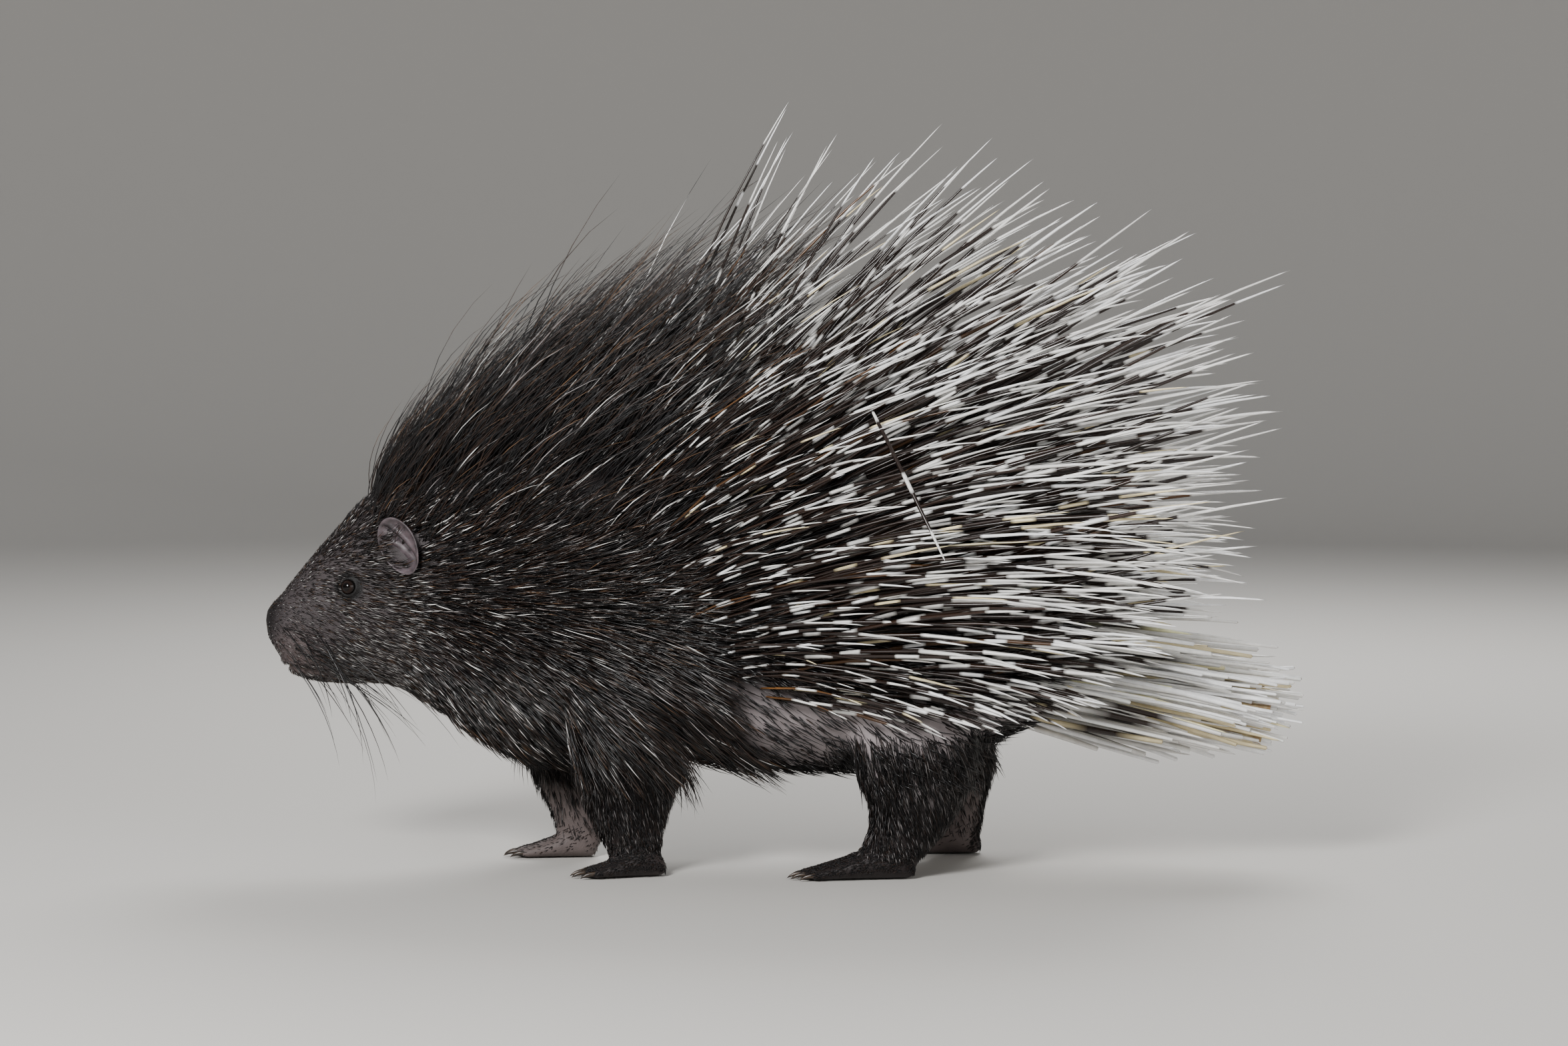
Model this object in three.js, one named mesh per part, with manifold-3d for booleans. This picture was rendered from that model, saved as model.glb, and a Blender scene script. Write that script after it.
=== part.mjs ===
// A life-size still model of an Indian crested porcupine, walking with its crest and quills half raised.
// Millimetres. The head points along -X, the left side faces -Y, and the soles stand on Z = 0.
import * as THREE from "three";
import { mergeVertices } from "three/addons/utils/BufferGeometryUtils.js";
import Module from "manifold-3d";

const wasm = await Module();
wasm.setup();

// Driving dimensions
const gap = 0.3; // left between sub-parts that touch
const bodySides = 18;
const roundness = 2.2; // exponent of the body's sections, 2 for an ellipse
const waistShare = 0.44; // height of a section's widest point, from its underside

// The body from the snout to the tail's tip: x, half width, top, underside
const bodyRows = [
  [-522, 15, 262, 235],
  [-517, 23, 268, 225],
  [-508, 30, 276, 213],
  [-495, 36, 292, 196],
  [-478, 42, 312, 189],
  [-450, 50, 343, 187],
  [-428, 56, 367, 187],
  [-408, 60, 382, 187],
  [-385, 63, 394, 181],
  [-358, 68, 404, 168],
  [-322, 78, 414, 146],
  [-281, 90, 422, 124],
  [-221, 104, 429, 112],
  [-154, 113, 433, 112],
  [-90, 120, 431, 116],
  [-30, 126, 423, 105],
  [34, 129, 408, 101],
  [90, 125, 388, 103],
  [147, 114, 356, 112],
  [201, 92, 314, 128],
  [238, 66, 272, 146],
  [266, 46, 236, 157],
  [295, 36, 213, 160],
  [330, 27, 193, 161],
  [352, 16, 181, 164],
];
const noseTip = [-524, 249];
const tailTip = [358, 172];
const coatReach = { back: 524, side: 222 }; // no quill's tip lies further back or to a side

// A small seeded generator, so that each run gives the same coat
function seeded(seed) {
  let state = seed;
  return () => {
    state = (state + 0x6d2b79f5) | 0;
    let t = Math.imul(state ^ (state >>> 15), 1 | state);
    t = (t + Math.imul(t ^ (t >>> 7), 61 | t)) ^ t;
    return ((t ^ (t >>> 14)) >>> 0) / 4294967296;
  };
}

// Value of one column at x, on a smooth curve through the rows
function valueAt(rows, x, column) {
  const last = rows.length - 1;
  if (x <= rows[0][0]) return rows[0][column];
  if (x >= rows[last][0]) return rows[last][column];
  let i = 0;
  while (x > rows[i + 1][0]) i += 1;
  const slope = (k) => {
    const a = Math.max(k - 1, 0);
    const b = Math.min(k + 1, last);
    return (rows[b][column] - rows[a][column]) / (rows[b][0] - rows[a][0]);
  };
  const span = rows[i + 1][0] - rows[i][0];
  const t = (x - rows[i][0]) / span;
  const t2 = t * t;
  const t3 = t2 * t;
  return (
    rows[i][column] * (2 * t3 - 3 * t2 + 1) +
    slope(i) * span * (t3 - 2 * t2 + t) +
    rows[i + 1][column] * (3 * t2 - 2 * t3) +
    slope(i + 1) * span * (t3 - t2)
  );
}

const power = (value, exponent) => Math.sign(value) * Math.abs(value) ** exponent;
const mix = THREE.MathUtils.lerp;
const radians = THREE.MathUtils.degToRad;

// A point of the body's surface: turn is 0 at the top, 90 at a side, 180 underneath, negative on the left
function bodyPoint(x, turn, grow = 0) {
  const half = valueAt(bodyRows, x, 1) + grow;
  const top = valueAt(bodyRows, x, 2) + grow;
  const bottom = valueAt(bodyRows, x, 3) - grow;
  const waist = mix(bottom, top, waistShare);
  const side = power(Math.sin(radians(turn)), 2 / roundness);
  const rise = power(Math.cos(radians(turn)), 2 / roundness);
  return new THREE.Vector3(x, half * side, waist + rise * (rise > 0 ? top - waist : waist - bottom));
}

function bodyNormal(x, turn) {
  const along = bodyPoint(x + 2, turn).sub(bodyPoint(x - 2, turn));
  const around = bodyPoint(x, turn + 2).sub(bodyPoint(x, turn - 2));
  return along.cross(around).normalize();
}

// The turn at which the body's side stands at height z
function turnAt(x, z) {
  const top = valueAt(bodyRows, x, 2);
  const bottom = valueAt(bodyRows, x, 3);
  const waist = mix(bottom, top, waistShare);
  const share = (z - waist) / (z > waist ? top - waist : waist - bottom);
  return THREE.MathUtils.radToDeg(Math.acos(power(THREE.MathUtils.clamp(share, -1, 1), roundness / 2)));
}

// A closed surface over a run of rings with the same number of points, with a point at each end
function skinOver(rings, firstTip, lastTip) {
  const sides = rings[0].length;
  const places = [firstTip, ...rings.flat(), lastTip];
  const end = places.length - 1;
  const faces = [];
  for (let s = 0; s < sides; s += 1) {
    const next = (s + 1) % sides;
    faces.push(0, 1 + next, 1 + s);
    for (let r = 0; r < rings.length - 1; r += 1) {
      const a = 1 + r * sides;
      const b = a + sides;
      faces.push(a + s, a + next, b + next, a + s, b + next, b + s);
    }
    faces.push(end, end - sides + s, end - sides + next);
  }
  const geometry = new THREE.BufferGeometry();
  const numbers = places.flatMap((p) => p.toArray());
  geometry.setAttribute("position", new THREE.Float32BufferAttribute(numbers, 3));
  geometry.setIndex(faces);
  return geometry;
}

// A closed three.js geometry as a solid for cutting and joining
function solidOf(geometry) {
  const bare = geometry.clone();
  bare.deleteAttribute("normal");
  bare.deleteAttribute("uv");
  const merged = mergeVertices(bare, 1e-4);
  const triVerts = new Uint32Array(merged.index.array);
  const build = () =>
    new wasm.Manifold(
      new wasm.Mesh({ numProp: 3, vertProperties: merged.attributes.position.array, triVerts }),
    );
  const solid = build();
  if (solid.volume() > 0) return solid;
  for (let i = 0; i < triVerts.length; i += 3) {
    [triVerts[i + 1], triVerts[i + 2]] = [triVerts[i + 2], triVerts[i + 1]];
  }
  return build();
}

function geometryOf(solid) {
  const mesh = solid.getMesh();
  const geometry = new THREE.BufferGeometry();
  geometry.setAttribute("position", new THREE.BufferAttribute(new Float32Array(mesh.vertProperties), 3));
  geometry.setIndex(new THREE.BufferAttribute(new Uint32Array(mesh.triVerts), 1));
  geometry.computeVertexNormals();
  return geometry;
}

// The largest closed piece of a solid, without its scraps and sealed hollows
function largest(solid) {
  return solid.decompose().sort((a, b) => b.volume() - a.volume())[0];
}

// The part of a solid on the side of a plane that the direction points to, held back by half the gap
function beyond(solid, point, direction) {
  const normal = direction.clone().normalize();
  return solid.trimByPlane(normal.toArray(), normal.dot(point) + gap / 2);
}

function trunkSolid(grow = 0) {
  const rings = [];
  bodyRows.forEach(([x], i) => {
    rings.push(x);
    const next = bodyRows[i + 1];
    if (next && next[0] - x > 45) rings.push((x + next[0]) / 2);
  });
  const places = rings.map((x) =>
    Array.from({ length: bodySides }, (_, s) => bodyPoint(x, (360 * (s + 0.5)) / bodySides, grow)),
  );
  const nose = new THREE.Vector3(noseTip[0] - grow, 0, noseTip[1]);
  const tail = new THREE.Vector3(tailTip[0] + grow, 0, tailTip[1]);
  return solidOf(skinOver(places, nose, tail));
}

// Legs
const legSides = 14;
const ankleHeight = 30;
// Each leg's axis and girth from the ankle up: z, x, half depth, distance from the middle, half width
const legs = {
  foreleg_left: {
    side: -1,
    hipHeight: 146,
    rows: [
      [14, -151, 23, 62, 18],
      [30, -153, 28, 62, 20],
      [50, -157, 35, 62, 23],
      [78, -158, 43, 64, 27],
      [109, -156, 48, 68, 31],
      [150, -166, 54, 72, 36],
      [205, -182, 54, 74, 34],
      [240, -188, 40, 70, 24],
    ],
  },
  foreleg_right: {
    side: 1,
    hipHeight: 146,
    rows: [
      [14, -212, 22, 60, 18],
      [30, -213, 24, 60, 19],
      [50, -215, 28, 60, 22],
      [78, -220, 36, 63, 27],
      [109, -222, 45, 67, 31],
      [150, -220, 52, 72, 36],
      [205, -214, 52, 74, 34],
      [240, -210, 40, 70, 24],
    ],
  },
  hindleg_left: {
    side: -1,
    hipHeight: 150,
    rows: [
      [14, 104, 26, 80, 20],
      [30, 108, 33, 80, 22],
      [52, 120, 38, 80, 26],
      [78, 126, 45, 80, 33],
      [105, 126, 55, 80, 40],
      [150, 118, 66, 80, 45],
      [200, 104, 66, 78, 40],
      [245, 92, 46, 72, 28],
    ],
  },
  hindleg_right: {
    side: 1,
    hipHeight: 150,
    rows: [
      [14, 170, 25, 80, 20],
      [30, 172, 28, 80, 22],
      [52, 173, 29, 80, 26],
      [78, 168, 40, 80, 33],
      [105, 158, 52, 80, 40],
      [150, 138, 62, 80, 45],
      [200, 116, 64, 78, 40],
      [245, 100, 46, 72, 28],
    ],
  },
};

function legSolid(leg, grow = 0) {
  const places = leg.rows.map(([z, x, depth, out, width]) =>
    Array.from({ length: legSides }, (_, s) => {
      const turn = radians((360 * (s + 0.5)) / legSides);
      return new THREE.Vector3(
        x + (depth + grow) * power(Math.cos(turn), 2 / roundness),
        leg.side * out + (width + grow) * power(Math.sin(turn), 2 / roundness),
        z,
      );
    }),
  );
  const tip = ([z, x, , out], rise) => new THREE.Vector3(x, leg.side * out, z + rise);
  return solidOf(skinOver(places, tip(leg.rows[0], -2), tip(leg.rows.at(-1), 6)));
}

// Feet: share of the length from the heel, half width, height
const forePaw = { length: 82, width: 21, height: 26, toes: 4, toeSpread: 15, clawLength: 14 };
const hindPaw = { length: 112, width: 22, height: 30, toes: 5, toeSpread: 17, clawLength: 14 };
const pawRows = [
  [0.0, 0.55, 0.6],
  [0.1, 0.82, 0.92],
  [0.28, 0.92, 1.1],
  [0.45, 0.94, 0.92],
  [0.62, 0.98, 0.68],
  [0.78, 0.94, 0.5],
  [0.88, 0.74, 0.38],
];
const feet = {
  forefoot_left: { leg: "foreleg_left", paw: forePaw, heel: [-122, 62], yaw: 12 },
  forefoot_right: { leg: "foreleg_right", paw: forePaw, heel: [-196, 60], yaw: 0 },
  hindfoot_left: { leg: "hindleg_left", paw: hindPaw, heel: [125, 80], yaw: 4 },
  hindfoot_right: { leg: "hindleg_right", paw: hindPaw, heel: [198, 80], yaw: 4 },
};
const soleSink = 4; // the paw is modelled this much below the floor and cut level
const pawSides = 8;
// Each toe from its root: distance behind the toe's end, share of its spread, height, radius
const toeRows = [
  [20, 0.8, 6.2, 5.4],
  [1, 1, 4.6, 4.6],
];
const clawRoot = { behind: 3, height: 4.8, radius: 2.8 };

function footSolid(foot) {
  const { paw, yaw } = foot;
  const side = legs[foot.leg].side;
  const turned = new THREE.Matrix4().makeRotationZ(radians(-side * yaw));
  turned.setPosition(foot.heel[0], side * foot.heel[1], 0);
  const place = (x, y, z) => new THREE.Vector3(x, y, z).applyMatrix4(turned);
  const placed = (ring) => ring.map((p) => p.applyMatrix4(turned));
  const rings = pawRows.map(([share, width, height]) =>
    Array.from({ length: pawSides }, (_, s) => {
      const turn = radians((360 * (s + 0.5)) / pawSides);
      const high = paw.height * height + soleSink;
      return place(
        -share * paw.length,
        paw.width * width * power(Math.sin(turn), 0.85),
        -soleSink + (high / 2) * (1 + power(Math.cos(turn), 0.85)),
      );
    }),
  );
  const pieces = [solidOf(skinOver(rings, place(3, 0, 6), place(-0.93 * paw.length, 0, 3)))];
  for (let i = 0; i < paw.toes; i += 1) {
    const across = (2 * i) / (paw.toes - 1) - 1;
    const reach = paw.length * (1 - 0.1 * across * across);
    const y = paw.toeSpread * across;
    const toe = toeRows.map(([behind, share, height, radius]) =>
      placed(ringAcrossX(behind - reach, y * share, height, radius, 5)),
    );
    const [rootBehind, rootShare, rootHeight] = toeRows[0];
    const toeRoot = place(rootBehind + 1 - reach, y * rootShare, rootHeight);
    pieces.push(solidOf(skinOver(toe, toeRoot, place(-reach - 2, y, 4))));
    const { behind, height, radius } = clawRoot;
    const claw = placed(ringAcrossX(behind - reach, y, height, radius, 4));
    const clawTip = place(-reach - paw.clawLength, y, 1.6);
    pieces.push(solidOf(skinOver([claw], place(behind + 2 - reach, y, height), clawTip)));
  }
  return wasm.Manifold.union(pieces);
}

function ringAcrossX(x, y, z, radius, sides) {
  return Array.from({ length: sides }, (_, s) => {
    const turn = radians((360 * s) / sides);
    return new THREE.Vector3(x, y + radius * Math.sin(turn), z + radius * Math.cos(turn));
  });
}

// Eyes, lids and ears
const eyeRadius = 8.5;
const eyePlace = [-436, 287]; // x and height of the eye on the head's side
const eyeSink = 3.6; // the eyeball's centre lies this far under the skin
const lidThickness = 2;
const earPlace = [-383, 327];
const earSize = [21, 31, 10]; // half width, half length, half depth of the cup
const earLean = -32; // degrees that the ear's top leans forward
const earStand = 7; // the cup's middle stands this far off the skin
const earFlare = 26; // degrees that the ear's rear edge stands off the head
const earRoom = 37; // no strand comes nearer to the ear's root than this

function onHead([x, z], side) {
  const turn = side * turnAt(x, z);
  return { place: bodyPoint(x, turn), out: bodyNormal(x, turn) };
}

function eyeCentre(side) {
  const { place, out } = onHead(eyePlace, side);
  return place.addScaledVector(out, -eyeSink);
}

function ball(centre, radius, wide = 10, high = 7) {
  return new THREE.SphereGeometry(radius, wide, high).translate(centre.x, centre.y, centre.z);
}

function lidSolid(side) {
  const { place, out } = onHead(eyePlace, side);
  const ring = new THREE.TorusGeometry(eyeRadius - 0.6, lidThickness, 4, 11);
  ring.scale(1, 0.86, 1);
  ring.applyQuaternion(new THREE.Quaternion().setFromUnitVectors(new THREE.Vector3(0, 0, 1), out));
  ring.translate(...place.addScaledVector(out, -0.3).toArray());
  return solidOf(ring);
}

function earSolid(side) {
  const { place, out } = onHead(earPlace, side);
  const cup = new THREE.SphereGeometry(1, 10, 7);
  cup.scale(...earSize);
  const hollow = new THREE.SphereGeometry(1, 8, 5);
  hollow.scale(earSize[0] - 3.5, earSize[1] - 4, earSize[2] + 2);
  hollow.translate(-0.5, 0, earSize[2] * 0.75);
  const shape = geometryOf(solidOf(cup).subtract(solidOf(hollow)));
  // the cup's hollow faces +Z here: stand it up, turn it outwards, then lean it and lift its rear edge
  const stand = new THREE.Matrix4().makeBasis(
    new THREE.Vector3(1, 0, 0),
    new THREE.Vector3(0, 0, 1),
    new THREE.Vector3(0, -1, 0),
  );
  shape.applyMatrix4(stand);
  if (side > 0) shape.applyMatrix4(new THREE.Matrix4().makeScale(1, -1, 1));
  shape.rotateY(radians(earLean));
  shape.rotateZ(radians(side * earFlare));
  shape.translate(...place.addScaledVector(out, earStand).toArray());
  return solidOf(shape);
}

// Mouth and nostrils, cut into the head
const mouth = { front: -503, back: -446, frontHeight: 206, backHeight: 197, radius: 1.5 };
const mouthStations = [-448, -474, -498];
const lipRise = 4.7; // from the mouth's line to the middle of each lip
const lipRadius = 3;
const nostril = { place: [-519, 8.5, 246], size: [6, 3, 4.5] };

function nostrilCut(side) {
  const hole = new THREE.SphereGeometry(1, 7, 4);
  hole.scale(...nostril.size);
  hole.rotateY(radians(-35));
  hole.translate(nostril.place[0], side * nostril.place[1], nostril.place[2]);
  return solidOf(hole);
}

// Cuts between the body's parts: a point on the plane and its direction, towards the head
const neckCut = { point: new THREE.Vector3(-352, 0, 300), direction: new THREE.Vector3(-1, 0, 0.32) };
const shoulderCut = { point: new THREE.Vector3(-262, 0, 280), direction: new THREE.Vector3(-1, 0, 0.3) };
const tailCut = { point: new THREE.Vector3(262, 0, 200), direction: new THREE.Vector3(-1, 0, -0.1) };

const back = (cut) => cut.direction.clone().negate();

const trunk = trunkSolid();
const legSolids = Object.fromEntries(Object.entries(legs).map(([name, leg]) => [name, legSolid(leg)]));
const up = new THREE.Vector3(0, 0, 1);
const down = new THREE.Vector3(0, 0, -1);
const floor = new THREE.Vector3(0, 0, -gap / 2);

// Quills, crest and bristles: each grows from a point of the body's surface
const sampleStep = 5;
const legRoomSpan = { front: -282, rear: 232, lowest: 158 }; // strands over the legs stay above them
const groundRoom = 60;

const planeSide = (cut, p) => cut.direction.clone().normalize().dot(p.clone().sub(cut.point));
const slabs = {
  head: (p, margin) => planeSide(neckCut, p) > margin,
  neck: (p, margin) => planeSide(neckCut, p) < -margin && planeSide(shoulderCut, p) > margin,
  torso: (p, margin) => planeSide(shoulderCut, p) < -margin && planeSide(tailCut, p) > margin,
  tail: (p, margin) => planeSide(tailCut, p) < -margin,
};

// Height of a point over the body's surface, roughly, and negative inside
function heightOver(p) {
  const x = Math.min(Math.max(p.x, bodyRows[0][0]), bodyRows.at(-1)[0]);
  const half = valueAt(bodyRows, x, 1);
  const top = valueAt(bodyRows, x, 2);
  const bottom = valueAt(bodyRows, x, 3);
  const waist = mix(bottom, top, waistShare);
  const rise = (p.z - waist) / (p.z > waist ? top - waist : waist - bottom);
  const reach = (Math.abs(p.y / half) ** roundness + Math.abs(rise) ** roundness) ** (1 / roundness);
  const across = Math.hypot(p.y, p.z - waist);
  const beyondEnd = Math.max(p.x - bodyRows.at(-1)[0], 0);
  return Math.max(across * (1 - 1 / Math.max(reach, 0.01)), beyondEnd);
}

// A direction from its angle above the horizon and its angle away from the animal's middle plane
function heading(lift, flare, side) {
  const level = Math.cos(radians(flare));
  return new THREE.Vector3(
    level * Math.cos(radians(lift)),
    side * Math.sin(radians(flare)),
    level * Math.sin(radians(lift)),
  );
}

// The line of a strand, whose lift falls evenly by its bend between root and tip
function strandLine(root, inward, side, { length, lift, bend, flare, steps, sink }) {
  const points = [root.clone().addScaledVector(inward, sink)];
  const end = root.clone();
  for (let i = 0; i < steps; i += 1) {
    const turned = lift + bend * (0.5 - (i + 0.5) / steps);
    points.push(end.addScaledVector(heading(turned, flare, side), length / steps).clone());
  }
  return points;
}

function samples(points) {
  return points.slice(1).flatMap((end, i) => {
    const start = points[i];
    const count = Math.ceil(start.distanceTo(end) / sampleStep);
    return Array.from({ length: count }, (_, k) => start.clone().lerp(end, (k + 1) / count));
  });
}

const strands = []; // every strand grown so far: its node, line and half width

// Whether a line stays over its own part of the body, and clear of the strands of other parts,
// and where it is to stand apart, of those of its own part too
function isClear(node, points, shape, apart) {
  const halfWidth = shape.widths[1] / 2;
  const margin = halfWidth + gap + 0.5;
  const spots = [points[0], ...samples(points)];
  const strays = spots.some((p) => {
    const nearBody = heightOver(p) < halfWidth * Math.max(shape.depth, 0.6) + gap + 1.5;
    const overLegs = p.x > legRoomSpan.front && p.x < legRoomSpan.rear;
    const low = p.z < (overLegs ? legRoomSpan.lowest : groundRoom);
    return low || (nearBody && !slabs[node](p, margin));
  });
  if (strays) return false;
  const earSpot = new THREE.Vector3(earPlace[0], valueAt(bodyRows, earPlace[0], 1), earPlace[1]);
  const fromEar = (p) => earSpot.distanceTo(new THREE.Vector3(p.x, Math.abs(p.y), p.z));
  if (spots.some((p) => fromEar(p) < earRoom)) return false;
  const nearest = new THREE.Vector3();
  return strands.every((other) => {
    if (other.node === node && !apart) return true;
    const room = halfWidth + other.halfWidth + (other.node === node ? 0 : gap + sampleStep / 4);
    return other.segments.every((line) =>
      spots.every((p) => line.closestPointToPoint(p, true, nearest).distanceTo(p) > room),
    );
  });
}

// A tapered strand: its section is a flat or round ring at each point, down to a sharp tip
function strandSolid(points, { widths, depth, sides, twist }) {
  const rings = points.slice(0, -1).map((p, i) => {
    const ahead = points[i + 1].clone().sub(points[Math.max(i - 1, 0)]).normalize();
    const lower = new THREE.Vector3(0, 1, 0).cross(ahead).normalize();
    const across = ahead.clone().cross(lower);
    const wide = across.clone().multiplyScalar(Math.cos(twist)).addScaledVector(lower, Math.sin(twist));
    const narrow = ahead.clone().cross(wide);
    return Array.from({ length: sides }, (_, s) => {
      const turn = (2 * Math.PI * s) / sides;
      return p
        .clone()
        .addScaledVector(wide, (widths[i] / 2) * Math.cos(turn))
        .addScaledVector(narrow, (widths[i] / 2) * depth * Math.sin(turn));
    });
  });
  return solidOf(skinOver(rings, points[0].clone().lerp(points[1], -0.01), points.at(-1)));
}

// The share of a strand's length that keeps its tip within the coat's reach
function shareInReach(root, tip) {
  const backShare = tip.x > coatReach.back ? (coatReach.back - root.x) / (tip.x - root.x) : 1;
  const out = Math.abs(tip.y) - Math.abs(root.y);
  const sideShare = Math.abs(tip.y) > coatReach.side ? (coatReach.side - Math.abs(root.y)) / out : 1;
  return Math.min(backShare, sideShare);
}

// Grows one strand, trying a few jittered places and directions until one is clear
function grow(node, x, turn, style, random) {
  const jitter = (amount) => amount * (2 * random() - 1);
  for (let attempt = 0; attempt < 9; attempt += 1) {
    const rootX = x + jitter(style.spacing * 0.25);
    const rootTurn = turn + jitter(style.turnJitter);
    const side = rootTurn < 0 ? -1 : 1;
    const root = bodyPoint(rootX, rootTurn);
    const shape = style.shape(rootX, Math.abs(rootTurn), jitter);
    const inward = bodyNormal(rootX, rootTurn).negate();
    shape.length *= shareInReach(root, strandLine(root, inward, side, shape).at(-1));
    const points = strandLine(root, inward, side, shape);
    if (isClear(node, points, shape, style.apart && attempt < 8)) {
      const segments = points.slice(1).map((end, i) => new THREE.Line3(points[i], end));
      strands.push({ node, segments, halfWidth: shape.widths[1] / 2 });
      return [strandSolid(points, shape)];
    }
  }
  return [];
}

// Roots at even steps round the body at one station, from one limit to the other
function turnsAround(x, limit, spacing, start) {
  const turns = [];
  let turn = -limit + start;
  while (turn <= limit) {
    turns.push(turn);
    turn += (2 * spacing) / bodyPoint(x, turn + 1).distanceTo(bodyPoint(x, turn - 1));
  }
  return turns;
}

// Between the values at the back's ridge, the flank's widest line and the belly's edge
function byTurn(rows, x, turn, [ridge, flank, belly], limit = 115) {
  const [a, b, c] = [ridge, flank, belly].map((column) => valueAt(rows, x, column));
  return turn < 90 ? mix(a, b, turn / 90) : mix(b, c, Math.min((turn - 90) / (limit - 90), 1));
}

// Back quills: x, lift at the ridge, flank and belly edge, then length at the same three
const quillRows = [
  [-150, 60, 26, -6, 310, 120, 55],
  [-87, 53, 16, -9, 392, 210, 75],
  [-20, 43, 9, -12, 396, 260, 90],
  [47, 33, 4, -14, 412, 285, 105],
  [114, 23, 0, -16, 388, 270, 110],
  [181, 11, -5, -18, 320, 245, 110],
  [240, 1, -9, -20, 245, 195, 100],
];
const quillStyle = {
  apart: true,
  from: -142,
  to: 246,
  spacing: 31,
  turns: (x, row) => {
    const limit = THREE.MathUtils.mapLinear(Math.min(x, -20), -150, -20, 88, 115);
    return turnsAround(x, limit, quillStyle.spacing, row % 2 ? 7 : 0);
  },
  turnJitter: 3,
  shape: (x, turn, jitter) => {
    const length = byTurn(quillRows, x, turn, [4, 5, 6]) * (1 + jitter(0.1));
    const girth = mix(3.4, 5.4, Math.min(length / 300, 1));
    return {
      length,
      lift: byTurn(quillRows, x, turn, [1, 2, 3]) + jitter(3.5),
      bend: 22 + jitter(6),
      flare: 20 * (turn / 90) ** 0.8 + jitter(3),
      steps: 2,
      sink: 7,
      widths: [girth * 0.75, girth],
      depth: 1,
      sides: 3,
      twist: 0,
    };
  },
};

// Crest: x, lift at the ridge and side, then length at the same two
const crestRows = [
  [-415, 62, 52, 108, 60],
  [-378, 59, 48, 178, 95],
  [-345, 56, 45, 230, 120],
  [-310, 54, 42, 260, 140],
  [-245, 54, 38, 288, 150],
  [-180, 55, 34, 296, 150],
  [-110, 55, 28, 305, 150],
];
const crestStyle = {
  from: -412,
  to: -112,
  spacing: 16,
  turns: (x, row) => (row % 2 ? [-50, -17, 17, 50] : [-34, 0, 34]),
  turnJitter: 3,
  shape: (x, turn, jitter) => {
    const share = turn / 62;
    const length = mix(valueAt(crestRows, x, 3), valueAt(crestRows, x, 4), share) * (1 + jitter(0.1));
    return {
      length,
      lift: mix(valueAt(crestRows, x, 1), valueAt(crestRows, x, 2), share) + jitter(4),
      bend: 26 + jitter(6),
      flare: 15 * share + jitter(2),
      steps: 3,
      sink: 7,
      widths: [7, 9, 5.5],
      depth: 0.26,
      sides: 4,
      twist: radians(50 + jitter(35)),
    };
  },
};

// Bristly locks that lie back along the neck, shoulder, throat and belly's edge
const bristleStyle = {
  from: -336,
  to: 215,
  spacing: 37,
  turns: (x, row) => {
    const bare = Math.min(THREE.MathUtils.mapLinear(Math.max(x, -190), -190, 0, 60, 122), 122);
    const turns = turnsAround(x, 172, bristleStyle.spacing, row % 2 ? 8 : 0);
    return turns.filter((turn) => Math.abs(turn) > bare);
  },
  turnJitter: 5,
  shape: (x, turn, jitter) => ({
    length: mix(84, 58, Math.abs(turn - 90) / 90) * (1 + jitter(0.18)),
    lift: -24 - 0.22 * Math.max(turn - 90, 0) + jitter(8),
    bend: 12 + jitter(6),
    flare: mix(34, 5, Math.max(turn - 70, 0) / 110) + jitter(4),
    steps: 2,
    sink: 2.5,
    widths: [12, 16],
    depth: 0.16,
    sides: 4,
    twist: radians(82 + jitter(12)),
  }),
};

// Tail quills, stout and nearly straight: x, lift on top and underneath, length on top and underneath
const tailRows = [
  [262, 6, -22, 210, 150],
  [300, 4, -20, 205, 160],
  [350, 0, -14, 165, 150],
];
const tailStyle = {
  apart: true,
  from: 266,
  to: 352,
  spacing: 22,
  turns: (x, row) => turnsAround(x, 178, tailStyle.spacing, row % 2 ? 16 : 0),
  turnJitter: 5,
  shape: (x, turn, jitter) => {
    const share = turn / 180;
    return {
      length: mix(valueAt(tailRows, x, 3), valueAt(tailRows, x, 4), share) * (1 + jitter(0.18)),
      lift: mix(valueAt(tailRows, x, 1), valueAt(tailRows, x, 2), share) + jitter(3),
      bend: 6 + jitter(4),
      flare: 15 * Math.sin(radians(turn)) + jitter(3),
      steps: 2,
      sink: 7,
      widths: [3.6, 4.6],
      depth: 1,
      sides: 3,
      twist: 0,
    };
  },
};

// Rattle quills: a thin stalk from the tail's end with an open cup on it
const rattle = { count: 6, stalk: 52, stalkRadius: 1.3, cup: 38, cupRadius: 3.4, wall: 0.9, sides: 5 };
const rattleRoot = { x: 336, middle: new THREE.Vector3(330, 0, 176) };

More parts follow.
